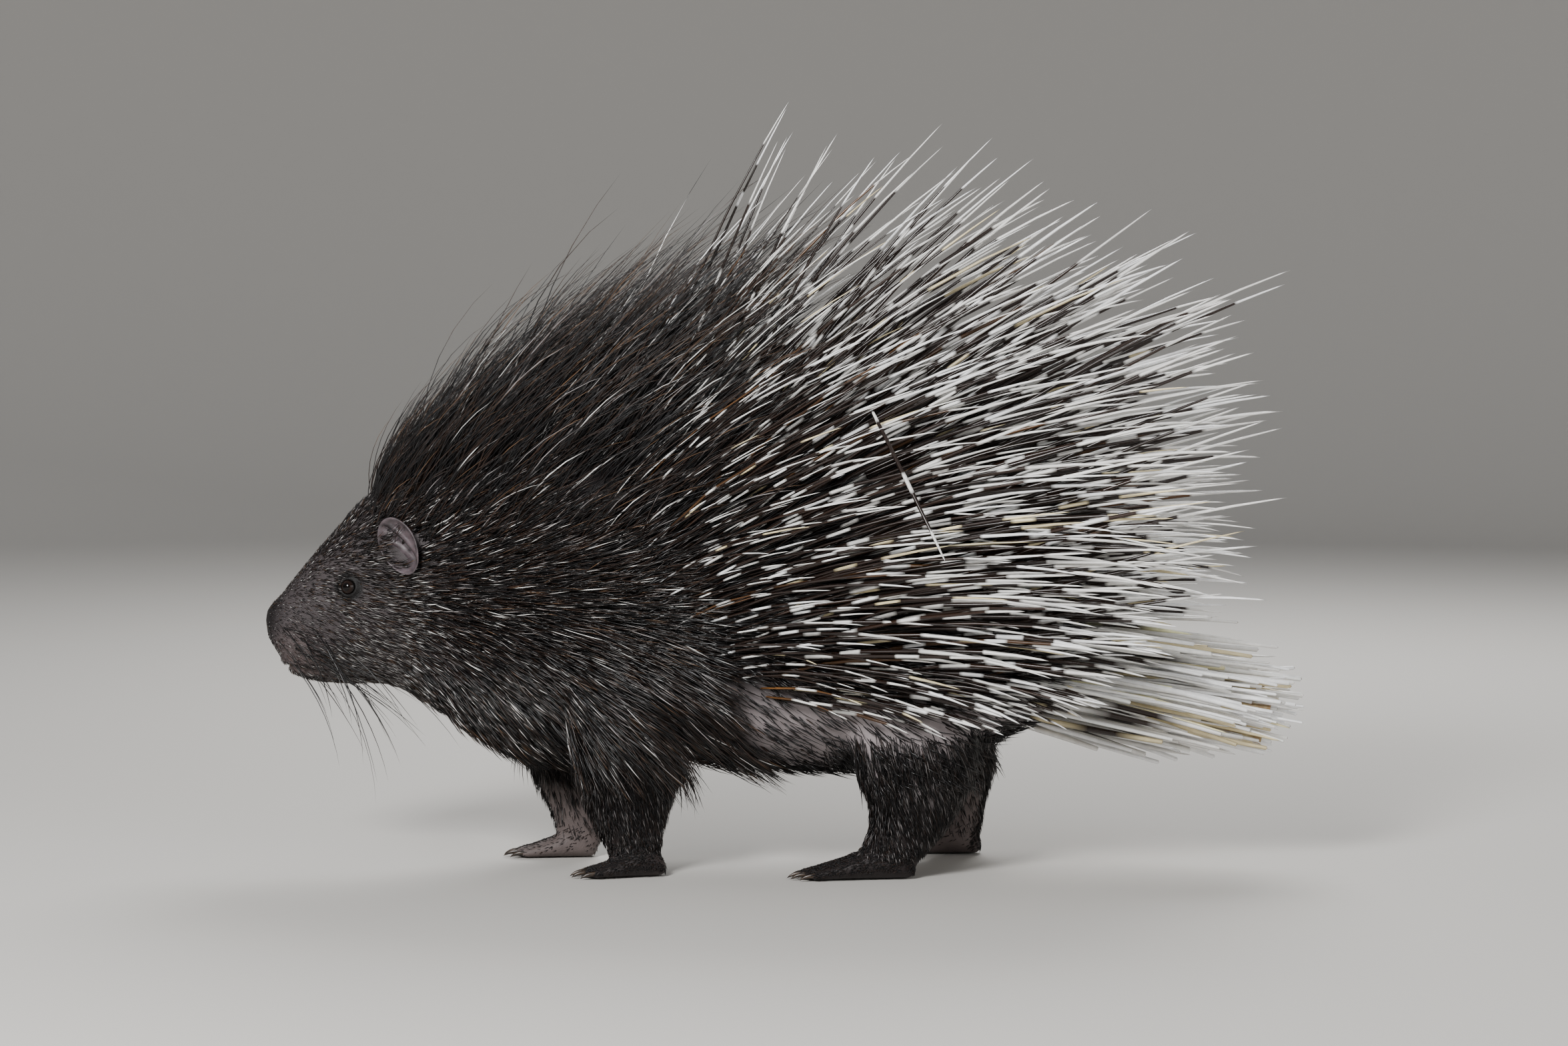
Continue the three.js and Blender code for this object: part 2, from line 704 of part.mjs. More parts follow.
function rattleSolid(turn, lift, flare) {
  const side = turn < 0 ? -1 : 1;
  const start = bodyPoint(rattleRoot.x, turn).lerp(rattleRoot.middle, 0.5);
  const ahead = heading(lift, flare, side);
  const lower = new THREE.Vector3(0, 1, 0).cross(ahead).normalize();
  const across = ahead.clone().cross(lower);
  const ringAt = (distance, radius) =>
    Array.from({ length: rattle.sides }, (_, s) => {
      const angle = (2 * Math.PI * s) / rattle.sides;
      return start
        .clone()
        .addScaledVector(ahead, distance)
        .addScaledVector(across, radius * Math.cos(angle))
        .addScaledVector(lower, radius * Math.sin(angle));
    });
  const end = rattle.stalk + rattle.cup;
  const inner = rattle.cupRadius - rattle.wall;
  const profile = [
    [0, rattle.stalkRadius],
    [rattle.stalk, rattle.stalkRadius],
    [rattle.stalk + 8, rattle.cupRadius],
    [end, rattle.cupRadius],
    [end, inner],
    [rattle.stalk + 12, inner],
  ];
  const rings = profile.map(([distance, radius]) => ringAt(distance, radius));
  const floorOfCup = start.clone().addScaledVector(ahead, rattle.stalk + 11);
  const line = [start, start.clone().addScaledVector(ahead, end)];
  return { line, solid: skinOver(rings, start, floorOfCup) };
}

const random = seeded(11);
const coats = { head: [], neck: [], torso: [], tail: [] };
const partAt = (x, z) => {
  const p = new THREE.Vector3(x, 0, z);
  return Object.keys(slabs).find((node) => slabs[node](p, -gap));
};

for (let i = 0; i < rattle.count; i += 1) {
  const turn = (360 * (i + 0.5)) / rattle.count - 180;
  const flare = 16 * Math.abs(Math.sin(radians(turn)));
  const { line, solid } = rattleSolid(turn, 16 * Math.cos(radians(turn)) - 12, flare);
  strands.push({ node: "tail", segments: [new THREE.Line3(...line)], halfWidth: rattle.cupRadius });
  coats.tail.push(solidOf(solid));
}
for (const style of [tailStyle, crestStyle, quillStyle, bristleStyle]) {
  for (let x = style.from, row = 0; x < style.to; x += style.spacing, row += 1) {
    for (const turn of style.turns(x, row)) {
      const node = partAt(x, bodyPoint(x, turn).z);
      coats[node].push(...grow(node, x, turn, style, random));
    }
  }
}

// A cord round the front of the muzzle at the mouth's height: the lips' ridges and the groove between them
function muzzleCord(rise, radius) {
  const run = mouth.back - mouth.front;
  const lineHeight = (x) => mix(mouth.frontHeight, mouth.backHeight, (x - mouth.front) / run) + rise;
  const along = (side) => mouthStations.map((x) => bodyPoint(x, side * turnAt(x, lineHeight(x))));
  const front = new THREE.Vector3(mouth.front - 2, 0, lineHeight(mouth.front));
  const line = [...along(-1), front, ...along(1).reverse()];
  const rings = line.map((p, i) => {
    const ahead = line[Math.min(i + 1, line.length - 1)].clone().sub(line[Math.max(i - 1, 0)]).normalize();
    const out = ahead.clone().cross(up).normalize();
    return Array.from({ length: 4 }, (_, s) => {
      const turn = (Math.PI * s) / 2;
      return p
        .clone()
        .addScaledVector(out, radius * Math.cos(turn))
        .addScaledVector(up, radius * Math.sin(turn));
    });
  });
  return solidOf(skinOver(rings, line[0], line.at(-1)));
}

// Head, neck, torso and tail: the trunk between its cuts, with what grows on it
const solids = new Map();
const union = (pieces) => wasm.Manifold.union(pieces);
const eyes = [-1, 1].map((side) => solidOf(ball(eyeCentre(side), eyeRadius)));
const sockets = [-1, 1].map((side) => solidOf(ball(eyeCentre(side), eyeRadius + gap)));
const skull = beyond(trunk, neckCut.point, neckCut.direction);
const lips = [lipRise, -lipRise].map((rise) => muzzleCord(rise, lipRadius));
const face = union([skull, lidSolid(-1), lidSolid(1), ...lips]);
const cuts = union([...sockets, muzzleCord(0, mouth.radius), nostrilCut(-1), nostrilCut(1)]);
solids.set("head", largest(union([face.subtract(cuts), ...coats.head])));
solids.set("eye_left", eyes[0]);
solids.set("eye_right", eyes[1]);
const headRoom = trunkSolid(gap);
solids.set("ear_left", largest(earSolid(-1).subtract(headRoom)));
solids.set("ear_right", largest(earSolid(1).subtract(headRoom)));
const nape = beyond(beyond(trunk, neckCut.point, back(neckCut)), shoulderCut.point, shoulderCut.direction);
solids.set("neck", largest(union([nape, ...coats.neck])));

const belly = beyond(beyond(trunk, shoulderCut.point, back(shoulderCut)), tailCut.point, tailCut.direction);
const hips = Object.entries(legs).map(([name, leg]) =>
  beyond(legSolids[name], new THREE.Vector3(0, 0, leg.hipHeight), up),
);
const legRoom = Object.values(legs).map((leg) =>
  legSolid(leg, gap).trimByPlane([0, 0, -1], -(leg.hipHeight + gap / 2)),
);
const bare = union([belly, ...hips]).subtract(union(legRoom));
solids.set("torso", largest(union([bare, ...coats.torso])));
solids.set("tail", largest(union([beyond(trunk, tailCut.point, back(tailCut)), ...coats.tail])));

for (const [name, foot] of Object.entries(feet)) {
  const leg = legs[foot.leg];
  const ankle = new THREE.Vector3(0, 0, ankleHeight);
  const hip = new THREE.Vector3(0, 0, leg.hipHeight);
  const whole = legSolids[foot.leg].add(footSolid(foot));
  const lower = beyond(whole, hip, down);
  solids.set(foot.leg, largest(beyond(lower, ankle, up)));
  solids.set(name, largest(beyond(beyond(lower, ankle, down), floor, up)));
}

// Colours of the sub-parts
const finishes = {
  hide: new THREE.MeshStandardMaterial({ color: 0x2b2422, roughness: 0.85 }),
  ear: new THREE.MeshStandardMaterial({ color: 0x5a4a47, roughness: 0.8 }),
  eye: new THREE.MeshStandardMaterial({ color: 0x0b0807, roughness: 0.08 }),
  quills: new THREE.MeshStandardMaterial({ color: 0x6b635b, roughness: 0.4 }),
  tailQuills: new THREE.MeshStandardMaterial({ color: 0xe4ded2, roughness: 0.45 }),
};
const finishOf = {
  ear_left: "ear",
  ear_right: "ear",
  eye_left: "eye",
  eye_right: "eye",
  torso: "quills",
  tail: "tailQuills",
};

const porcupine = new THREE.Group();
for (const [name, solid] of solids) {
  const mesh = new THREE.Mesh(geometryOf(solid), finishes[finishOf[name] ?? "hide"]);
  mesh.name = name;
  porcupine.add(mesh);
}

export default porcupine;
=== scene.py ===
import math
import bpy
import bmesh
import numpy as np
from mathutils import Matrix, Vector


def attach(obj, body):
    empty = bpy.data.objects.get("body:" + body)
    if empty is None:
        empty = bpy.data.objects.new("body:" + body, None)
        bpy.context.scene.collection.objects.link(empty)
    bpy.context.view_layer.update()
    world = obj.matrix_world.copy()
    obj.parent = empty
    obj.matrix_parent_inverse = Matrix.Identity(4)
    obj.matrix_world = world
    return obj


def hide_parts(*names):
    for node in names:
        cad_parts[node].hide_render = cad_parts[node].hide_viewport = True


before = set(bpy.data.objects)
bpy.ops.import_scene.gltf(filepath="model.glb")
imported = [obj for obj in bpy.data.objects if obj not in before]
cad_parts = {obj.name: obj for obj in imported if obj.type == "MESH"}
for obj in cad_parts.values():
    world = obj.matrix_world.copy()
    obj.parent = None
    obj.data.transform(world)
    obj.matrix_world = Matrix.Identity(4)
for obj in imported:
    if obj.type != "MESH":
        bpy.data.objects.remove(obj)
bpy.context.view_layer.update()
mm = 0.001
rng = np.random.default_rng(5)

# the body's stations, nose to tail: x, half width, top, underside, in mm
body = {
    "rows": np.array([
        [-522, 15, 262, 235], [-517, 23, 268, 225], [-508, 30, 276, 213], [-495, 36, 292, 196],
        [-478, 42, 312, 189], [-450, 50, 343, 187], [-428, 56, 367, 187], [-408, 60, 382, 187],
        [-385, 63, 394, 181], [-358, 68, 404, 168], [-322, 78, 414, 146], [-281, 90, 422, 124],
        [-221, 104, 429, 112], [-154, 113, 433, 112], [-90, 120, 431, 116], [-30, 126, 423, 105],
        [34, 129, 408, 101], [90, 125, 388, 103], [147, 114, 356, 112], [201, 92, 314, 128],
        [238, 66, 272, 146], [266, 46, 236, 157], [295, 36, 213, 160], [330, 27, 193, 161],
        [352, 16, 181, 164],
    ], float),
    "nose": (-524, 249), "tail": (358, 172),
    "roundness": 2.2, "waist": 0.44,
    "inset": 1.2,       # the skin lies this far inside the solids, mm
    "voxel": 3.6, "rings": 150, "sides": 72,
    "legSides": 40, "legShare": 0.97,   # the legs' skin is this share of the solids' width
}
# legs: z, x, half depth, distance from the middle, half width
legs = {
    "foreleg_left": {"side": -1, "foot": "forefoot_left", "rows": [
        [14, -151, 23, 62, 18], [30, -153, 28, 62, 20], [50, -157, 35, 62, 23], [78, -158, 43, 64, 27],
        [109, -156, 48, 68, 31], [150, -166, 54, 72, 36], [205, -182, 54, 74, 34], [240, -188, 40, 70, 24]]},
    "foreleg_right": {"side": 1, "foot": "forefoot_right", "rows": [
        [14, -212, 22, 60, 18], [30, -213, 24, 60, 19], [50, -215, 28, 60, 22], [78, -220, 36, 63, 27],
        [109, -222, 45, 67, 31], [150, -220, 52, 72, 36], [205, -214, 52, 74, 34], [240, -210, 40, 70, 24]]},
    "hindleg_left": {"side": -1, "foot": "hindfoot_left", "rows": [
        [14, 104, 26, 80, 20], [30, 108, 33, 80, 22], [52, 120, 38, 80, 26], [78, 126, 45, 80, 33],
        [105, 126, 55, 80, 40], [150, 118, 66, 80, 45], [200, 104, 66, 78, 40], [245, 92, 46, 72, 28]]},
    "hindleg_right": {"side": 1, "foot": "hindfoot_right", "rows": [
        [14, 170, 25, 80, 20], [30, 172, 28, 80, 22], [52, 173, 29, 80, 26], [78, 168, 40, 80, 33],
        [105, 158, 52, 80, 40], [150, 138, 62, 80, 45], [200, 116, 64, 78, 40], [245, 100, 46, 72, 28]]},
}
# feet: mm and degrees; the heel is given by its x and its distance from the middle
forePaw = {"length": 82, "width": 21, "height": 26, "toes": 4, "toeSpread": 15}
hindPaw = {"length": 112, "width": 22, "height": 30, "toes": 5, "toeSpread": 17}
feet = {
    "forefoot_left": {"side": -1, "paw": forePaw, "heel": (-122, 62), "yaw": 12},
    "forefoot_right": {"side": 1, "paw": forePaw, "heel": (-196, 60), "yaw": 0},
    "hindfoot_left": {"side": -1, "paw": hindPaw, "heel": (125, 80), "yaw": 4},
    "hindfoot_right": {"side": 1, "paw": hindPaw, "heel": (198, 80), "yaw": 4},
}
paws = {
    # share of the length from the heel, then width and height as shares
    "rows": np.array([[0, 0.55, 0.6], [0.1, 0.82, 0.92], [0.28, 0.92, 1.1], [0.45, 0.94, 0.92],
                      [0.62, 0.98, 0.68], [0.78, 0.94, 0.5], [0.88, 0.74, 0.38]]),
    # distance behind the toe's tip, share of the toes' spread, height and radius, mm
    "toe": [(22, 0.8, 6.6, 5.2), (13, 0.9, 6.4, 5.4), (8, 0.96, 5.8, 4.9), (3, 1, 5.4, 5.1),
            (0, 1, 5.0, 4.4), (-1.5, 1, 4.6, 3.2)],
    "claw": [(5, 1, 5.6, 2.2), (1, 1, 6.0, 2.4), (-4, 1, 5.6, 2.2), (-8, 1, 4.6, 1.7),
             (-11.5, 1, 3.0, 1.0)],
    "sides": 32, "rings": 26, "inset": 0.6, "lift": 0.4, "roundness": 0.85,
}
face = {
    "eye": (-436, 287), "eyeRadius": 8.5, "eyeSink": 3.6,
    "ear": (-383, 327), "earSize": (21, 31, 10), "earLean": -32, "earFlare": 26, "earStand": 7,
    "mouthFront": -503, "mouthBack": -446, "mouthHigh": 206, "mouthLow": 197,
    "nostril": (-519, 8.5, 246), "fineBefore": -395,
    # cheek, whisker pad, brow and the hollow before the eye: centre, reach and height, mm
    "swellings": [((-412, 60, 242), (34, 26, 30), 3.5), ((-496, 27, 220), (16, 16, 17), 4.0),
                  ((-424, 48, 306), (16, 12, 8), 2.4), ((-452, 44, 278), (14, 12, 10), -1.6)],
    # height, distance and width of the ridges and furrows round the eye and mouth, mm
    "lid": (1.9, 9.2, 1.8), "fold": (-0.9, 13.2, 1.5), "socket": 5.0,
    "groove": (-3.2, 0, 1.5), "lips": (1.6, 5, 2.6), "cleft": (-2.2, 0, 1.6),
}


# shape of the body

def valueAt(rows, x, column):  # smooth curve through the rows
    rows = np.asarray(rows, float)
    x = np.clip(np.asarray(x, float), rows[0, 0], rows[-1, 0])
    i = np.clip(np.searchsorted(rows[:, 0], x, side="right") - 1, 0, len(rows) - 2)
    before = np.maximum(np.arange(len(rows)) - 1, 0)
    after = np.minimum(np.arange(len(rows)) + 1, len(rows) - 1)
    slope = (rows[after, column] - rows[before, column]) / (rows[after, 0] - rows[before, 0])
    span = rows[i + 1, 0] - rows[i, 0]
    t = (x - rows[i, 0]) / span
    return (rows[i, column] * (2 * t**3 - 3 * t**2 + 1) + slope[i] * span * (t**3 - 2 * t**2 + t)
            + rows[i + 1, column] * (3 * t**2 - 2 * t**3) + slope[i + 1] * span * (t**3 - t**2))


def power(value, exponent):
    return np.sign(value) * np.abs(value) ** exponent


def bodySpan(x, grow=0.0):  # the top, waist and underside of the body at x
    top = valueAt(body["rows"], x, 2) + grow
    bottom = valueAt(body["rows"], x, 3) - grow
    return top, bottom + (top - bottom) * body["waist"], bottom


def bodyPoint(x, turn, grow=0.0):  # turn 0 is the ridge, 90 a flank, 180 the belly, negative on the left
    x, turn = np.broadcast_arrays(np.asarray(x, float), np.radians(turn))
    half = valueAt(body["rows"], x, 1) + grow
    top, waist, bottom = bodySpan(x, grow)
    side = power(np.sin(turn), 2 / body["roundness"])
    rise = power(np.cos(turn), 2 / body["roundness"])
    z = waist + rise * np.where(rise > 0, top - waist, waist - bottom)
    return np.stack([x, half * side, z], -1)


def normalFrom(pointAt, u, v, du, dv):
    across = np.cross(pointAt(u + du, v) - pointAt(u - du, v), pointAt(u, v + dv) - pointAt(u, v - dv))
    return across / np.linalg.norm(across, axis=-1, keepdims=True)


def bodyNormal(x, turn):
    return normalFrom(bodyPoint, np.asarray(x, float), np.asarray(turn, float), 2.0, 2.0)


def turnAt(x, z):  # the turn of a place on the body's surface, from its height
    top, waist, bottom = bodySpan(x)
    share = np.clip((z - waist) / np.where(z > waist, top - waist, waist - bottom), -1, 1)
    return np.degrees(np.arccos(power(share, body["roundness"] / 2)))


def turnOf(places):  # the angle of places round the waist line
    x, y, z = places.T
    return np.degrees(np.arctan2(y, z - bodySpan(x)[1]))


def sideOf(turn):
    return np.where(turn < 0, -1.0, 1.0)


def swell(distance, line):  # line: height, centre and width of a ridge, or of a furrow when below 0
    height, centre, width = line
    return height * np.exp(-((distance - centre) / width) ** 2)


def legPoint(leg, z, turn):
    rows = np.asarray(leg["rows"], float)
    turn = np.radians(turn)
    z, turn = np.broadcast_arrays(np.asarray(z, float), turn)
    x, depth, out, width = [valueAt(rows, z, column) for column in (1, 2, 3, 4)]
    return np.stack([x + depth * power(np.cos(turn), 2 / body["roundness"]),
                     leg["side"] * out + width * power(np.sin(turn), 2 / body["roundness"]), z], -1)


def heading(lift, flare, side):  # a direction from its angle above the horizon and off the middle plane
    lift, flare = np.radians(lift), np.radians(flare)
    return np.stack([np.cos(flare) * np.cos(lift), side * np.sin(flare), np.cos(flare) * np.sin(lift)], -1)


def unit(v):
    return v / np.maximum(np.linalg.norm(v, axis=-1, keepdims=True), 1e-9)


# small Blender helpers

def deselectAll():
    if bpy.context.object and bpy.context.object.mode != "OBJECT":
        bpy.ops.object.mode_set(mode="OBJECT")
    bpy.ops.object.select_all(action="DESELECT")


def pick(obj):
    deselectAll()
    obj.select_set(True)
    bpy.context.view_layer.objects.active = obj


def applyAll(obj):
    pick(obj)
    for modifier in list(obj.modifiers):
        bpy.ops.object.modifier_apply(modifier=modifier.name)


def vertexValues(obj, key):
    flat = np.zeros(len(obj.data.vertices) * 3)
    obj.data.vertices.foreach_get(key, flat)
    return flat.reshape(-1, 3)


def coords(obj):
    return vertexValues(obj, "co")


def setCoords(obj, places):
    obj.data.vertices.foreach_set("co", np.asarray(places, float).ravel())
    obj.data.update()


def faceOutwards(obj):
    pick(obj)
    bpy.ops.object.mode_set(mode="EDIT")
    bpy.ops.mesh.select_all(action="SELECT")
    bpy.ops.mesh.normals_make_consistent(inside=False)
    bpy.ops.object.mode_set(mode="OBJECT")


def joined(parts, name):
    deselectAll()
    for part in parts:
        part.select_set(True)
    bpy.context.view_layer.objects.active = parts[0]
    bpy.ops.object.join()
    whole = bpy.context.object
    whole.name = name
    return whole


def meshFromArrays(name, places, quads, tris):
    mesh = bpy.data.meshes.new(name)
    loops = np.concatenate([np.ravel(quads), np.ravel(tris)]).astype(np.int32)
    sizes = np.concatenate([np.full(len(quads), 4), np.full(len(tris), 3)]).astype(np.int32)
    starts = np.concatenate([[0], np.cumsum(sizes)[:-1]]).astype(np.int32)
    mesh.vertices.add(len(places))
    mesh.vertices.foreach_set("co", np.asarray(places, float).ravel())
    mesh.loops.add(len(loops))
    mesh.loops.foreach_set("vertex_index", loops)
    mesh.polygons.add(len(sizes))
    mesh.polygons.foreach_set("loop_start", starts)
    mesh.polygons.foreach_set("use_smooth", np.ones(len(sizes), bool))
    mesh.update(calc_edges=True)
    mesh.validate()
    obj = bpy.data.objects.new(name, mesh)
    bpy.context.scene.collection.objects.link(obj)
    return obj


def srgb(code):  # "#rrggbb" to linear colour
    parts = [int(code[i:i + 2], 16) / 255 for i in (1, 3, 5)]
    return [c / 12.92 if c <= 0.04045 else ((c + 0.055) / 1.055) ** 2.4 for c in parts]


def addNode(tree, kind, settings=None, **links):  # links: i0, i1, i2 or the input's name
    node = tree.nodes.new(kind)
    for key, value in (settings or {}).items():
        if key in ("operation", "blend_type", "attribute_name", "feature"):
            setattr(node, key, value)
        else:
            node.inputs[key].default_value = value
    for key, source in links.items():
        tree.links.new(source, node.inputs[int(key[1:])] if key[1:].isdigit() else node.inputs[key])
    return node


def newMaterial(name):
    material = bpy.data.materials.new(name)
    material.use_nodes = True
    return material, material.node_tree


def setSurface(material, values, tint=None, bump=None):  # tint and bump are outputs of nodes
    tree = material.node_tree
    bsdf = tree.nodes["Principled BSDF"]
    for key, value in values.items():
        bsdf.inputs[key].default_value = value
    for key, source in (("Base Color", tint), ("Normal", bump)):
        if source is not None:
            tree.links.new(source, bsdf.inputs[key])
    return material


def objectPlace(tree):
    return addNode(tree, "ShaderNodeTexCoord").outputs["Object"]


def distanceTo(tree, place, centre):
    node = addNode(tree, "ShaderNodeVectorMath", {"operation": "DISTANCE", 1: centre}, i0=place)
    return node.outputs["Value"]


def rescaled(tree, source, start, end, low=0.0, high=1.0):  # start to end becomes low to high
    limits = {"From Min": start, "From Max": end, "To Min": low, "To Max": high}
    return addNode(tree, "ShaderNodeMapRange", limits, i0=source).outputs[0]


def noiseAt(tree, place, size, detail):  # size in mm
    settings = {"Scale": 1 / (size * mm), "Detail": detail}
    return addNode(tree, "ShaderNodeTexNoise", settings, Vector=place).outputs["Fac"]


def mottled(tree, tint, place, size, detail, low, high):  # darker and lighter in soft patches
    shade = rescaled(tree, noiseAt(tree, place, size, detail), 0, 1, low, high)
    node = addNode(tree, "ShaderNodeMixRGB", {"blend_type": "MULTIPLY", "Fac": 1.0}, i1=tint, i2=shade)
    return node.outputs[0]


def mixed(tree, share, under, code):
    settings = {"Color2": (*srgb(code), 1)}
    return addNode(tree, "ShaderNodeMixRGB", settings, i0=share, i1=under).outputs[0]


def bumpFrom(tree, height, strength):
    settings = {"Strength": strength, "Distance": 0.5 * mm}
    return addNode(tree, "ShaderNodeBump", settings, Height=height).outputs[0]


def ramp(tree, source, stops):
    node = addNode(tree, "ShaderNodeValToRGB", i0=source)
    while len(node.color_ramp.elements) < len(stops):
        node.color_ramp.elements.new(0.5)
    for element, (place, code) in zip(node.color_ramp.elements, stops):
        element.position = place
        element.color = (*srgb(code), 1)
    return node.outputs[0]


# skin

skin = {
    "base": "#1d1819", "face": "#3d3738", "muzzle": "#5b4f4d", "nose": "#161213", "belly": "#968d8e",
    "shankInside": "#5c5250", "shankOutside": "#211b1b", "eyelid": "#080606", "bump": 0.6,
    # where each tone starts and where it is full, m
    "faceX": (-0.30, -0.42), "bellyX": (-0.09, -0.03), "bellyZ": (0.205, 0.16),
    "shankZ": (0.095, 0.07), "insideY": (0.080, 0.062),
    # tones round a centre, with the distance where each starts and where it is full, m
    "spots": [("muzzle", (-0.476, 0, 0.224), 0.048, 0.030), ("nose", (-0.524, 0, 0.252), 0.040, 0.022)],
    "eyelidReach": (0.0185, 0.0140),
}


def loftObject(name, rings, firstTip, lastTip):  # a tube through the rings, closed to a tip at each end
    count, sides = len(rings), len(rings[0])
    places = np.concatenate([np.concatenate(rings), [firstTip, lastTip]]) * mm
    start = np.arange(count - 1)[:, None] * sides
    s = np.arange(sides)
    n = (s + 1) % sides
    quads = np.stack([start + s, start + n, start + sides + n, start + sides + s], -1).reshape(-1, 4)
    end = (count - 1) * sides
    tris = np.concatenate([np.stack([np.full(sides, count * sides), n, s], -1),
                           np.stack([np.full(sides, count * sides + 1), s + end, n + end], -1)])
    obj = meshFromArrays(name, places, quads, tris)
    faceOutwards(obj)
    return obj


def trunkObject():
    share = np.linspace(0, 1, body["rings"])
    x = np.interp(share, [0, 0.1, 0.3, 0.93, 1], [-522, -510, -430, 330, 352])
    turns = (np.arange(body["sides"]) + 0.5) * 360 / body["sides"]
    rings = [bodyPoint(np.full(body["sides"], v), turns, -body["inset"]) for v in x]
    nose, tail = body["nose"], body["tail"]
    return loftObject("trunk", rings, (nose[0] + 1, 0, nose[1]), (tail[0] - 1, 0, tail[1]))


def legObject(name, leg):
    sides = body["legSides"]
    turns = (np.arange(sides) + 0.5) * (360 / sides)
    rings = []
    for z in np.linspace(leg["rows"][0][0], leg["rows"][-1][0], sides):
        ring = legPoint(leg, np.full(sides, z), turns)
        middle = ring.mean(0)
        rings.append(middle + (ring - middle) * body["legShare"])
    first, last = rings[0].mean(0), rings[-1].mean(0)
    return loftObject(name, rings, first - [0, 0, 2], last + [0, 0, 5])


def footMatrix(foot):
    turned = Matrix.Rotation(math.radians(-foot["side"] * foot["yaw"]), 4, "Z")
    turned.translation = (foot["heel"][0], foot["side"] * foot["heel"][1], 0)
    return np.array(turned)


def placed(matrix, points):
    points = np.atleast_2d(np.asarray(points, float))
    return points @ matrix[:3, :3].T + matrix[:3, 3]


def toeLines(foot):
    paw = foot["paw"]
    for i in range(paw["toes"]):
        across = 2 * i / (paw["toes"] - 1) - 1
        yield paw["length"] * (1 - 0.1 * across * across), paw["toeSpread"] * across


def digitRings(matrix, reach, y, rows, sides, squeeze, lowest):  # rings along a toe or a claw
    turn = np.arange(sides) * 2 * math.pi / sides
    rings = []
    for back, share, z, radius in rows:
        ring = np.stack([np.full(sides, back - reach), y * share + radius * squeeze * np.sin(turn),
                         np.maximum(z + radius * np.cos(turn), lowest)], -1)
        rings.append(placed(matrix, ring))
    return rings


def footObjects(name, foot):
    paw, matrix = foot["paw"], footMatrix(foot)
    rows, sides = paws["rows"], paws["sides"]
    turns = np.radians((np.arange(sides) + 0.5) * 360 / sides)
    rings = []
    for share in np.linspace(0, rows[-1, 0], paws["rings"]):
        width, height = [np.interp(share, rows[:, 0], rows[:, c]) for c in (1, 2)]
        high = paw["height"] * height - paws["inset"]
        ring = np.stack([np.full(sides, -share * paw["length"]),
                         (paw["width"] * width - paws["inset"]) * power(np.sin(turns), paws["roundness"]),
                         paws["lift"] + (high / 2) * (1 + power(np.cos(turns), paws["roundness"]))], -1)
        rings.append(placed(matrix, ring))
    heel, tip = placed(matrix, (2, 0, 7))[0], placed(matrix, (-0.92 * paw["length"], 0, 4))[0]
    made = [loftObject(name + "Pad", rings, heel, tip)]
    for i, (reach, y) in enumerate(toeLines(foot)):
        toeRings = digitRings(matrix, reach, y, paws["toe"], 16, 1, 0.5)
        ends = placed(matrix, [(-reach + 23, y * 0.8, 6.6), (-reach - 2, y, 4.4)])
        made.append(loftObject(f"{name}Toe{i}", toeRings, *ends))
    return made


def push(places, normals, centre, radius, amount):  # moves what lies near a centre along its normal, mm
    away = (places - np.asarray(centre)) / np.asarray(radius, float)
    weight = np.exp(-(away ** 2).sum(1))
    return places + normals * (amount * weight)[:, None]


def eyeCentre(side):
    turn = side * turnAt(*face["eye"])
    place, out = bodyPoint(face["eye"][0], turn), bodyNormal(face["eye"][0], turn)
    return place - out * face["eyeSink"], out


def mouthHeight(x):
    return np.interp(x, [face["mouthFront"], face["mouthBack"]], [face["mouthHigh"], face["mouthLow"]])


def sculptHead(obj):
    places, normals = coords(obj) / mm, vertexValues(obj, "normal")
    for side in (-1, 1):
        for (x, y, z), reach, height in face["swellings"]:
            places = push(places, normals, (x, side * y, z), reach, height)
        places = sculptEye(places, side)
        places = sculptNostril(places, normals, side)
    setCoords(obj, sculptMouth(places, normals) * mm)


def sculptEye(places, side):  # a socket, with a lid and a fold round it
    centre, out = eyeCentre(side)
    offset = places - centre
    along = offset @ out
    ring = np.linalg.norm((offset - along[:, None] * out) * np.array([1, 1, 1.12]), axis=1)
    front = np.abs(along - face["eyeSink"]) < 14
    socket = np.where(front & (ring < 9), -face["socket"] * np.clip(1 - (ring / 7.4) ** 4, 0, 1), 0)
    lid = np.where(front, swell(ring, face["lid"]), 0)
    fold = np.where(front, swell(ring, face["fold"]), 0)
    return places + out * (lid + fold + socket)[:, None]


def sculptNostril(places, normals, side):  # a slanting hole with a raised rim
    x, y, z = face["nostril"]
    rim = ((places - (x, side * y, z)) / (8, 6, 7))
    places += normals * (1.5 * np.exp(-(rim ** 2).sum(1)))[:, None]
    dx, dy, dz = (places - (x - 1, side * (y + 1), z - 1)).T
    slant = np.stack([dx * 0.7 + dz * 0.7, dy, dz * 0.7 - dx * 0.7], 1)
    hole = np.exp(-((slant / (6.5, 2.6, 3.0)) ** 2).sum(1))
    places[:, 0] += hole * 5.5
    places[:, 1] -= side * hole * 2.5
    return places


def sculptMouth(places, normals):  # the mouth's line, its lips and the cleft under the nose
    x, y, z = places.T
    ends = np.clip((-443 - x) / 8, 0, 1)
    level = z - mouthHeight(x)
    groove = np.where(x < -440, swell(level, face["groove"]) * ends, 0)
    lips = np.where(x < -440, swell(np.abs(level), face["lips"]) * ends, 0)
    cleft = np.where(x < -508, swell(y, face["cleft"]) * np.clip((252 - z) / 10, 0, 1), 0)
    return places + normals * (groove + lips + cleft)[:, None]


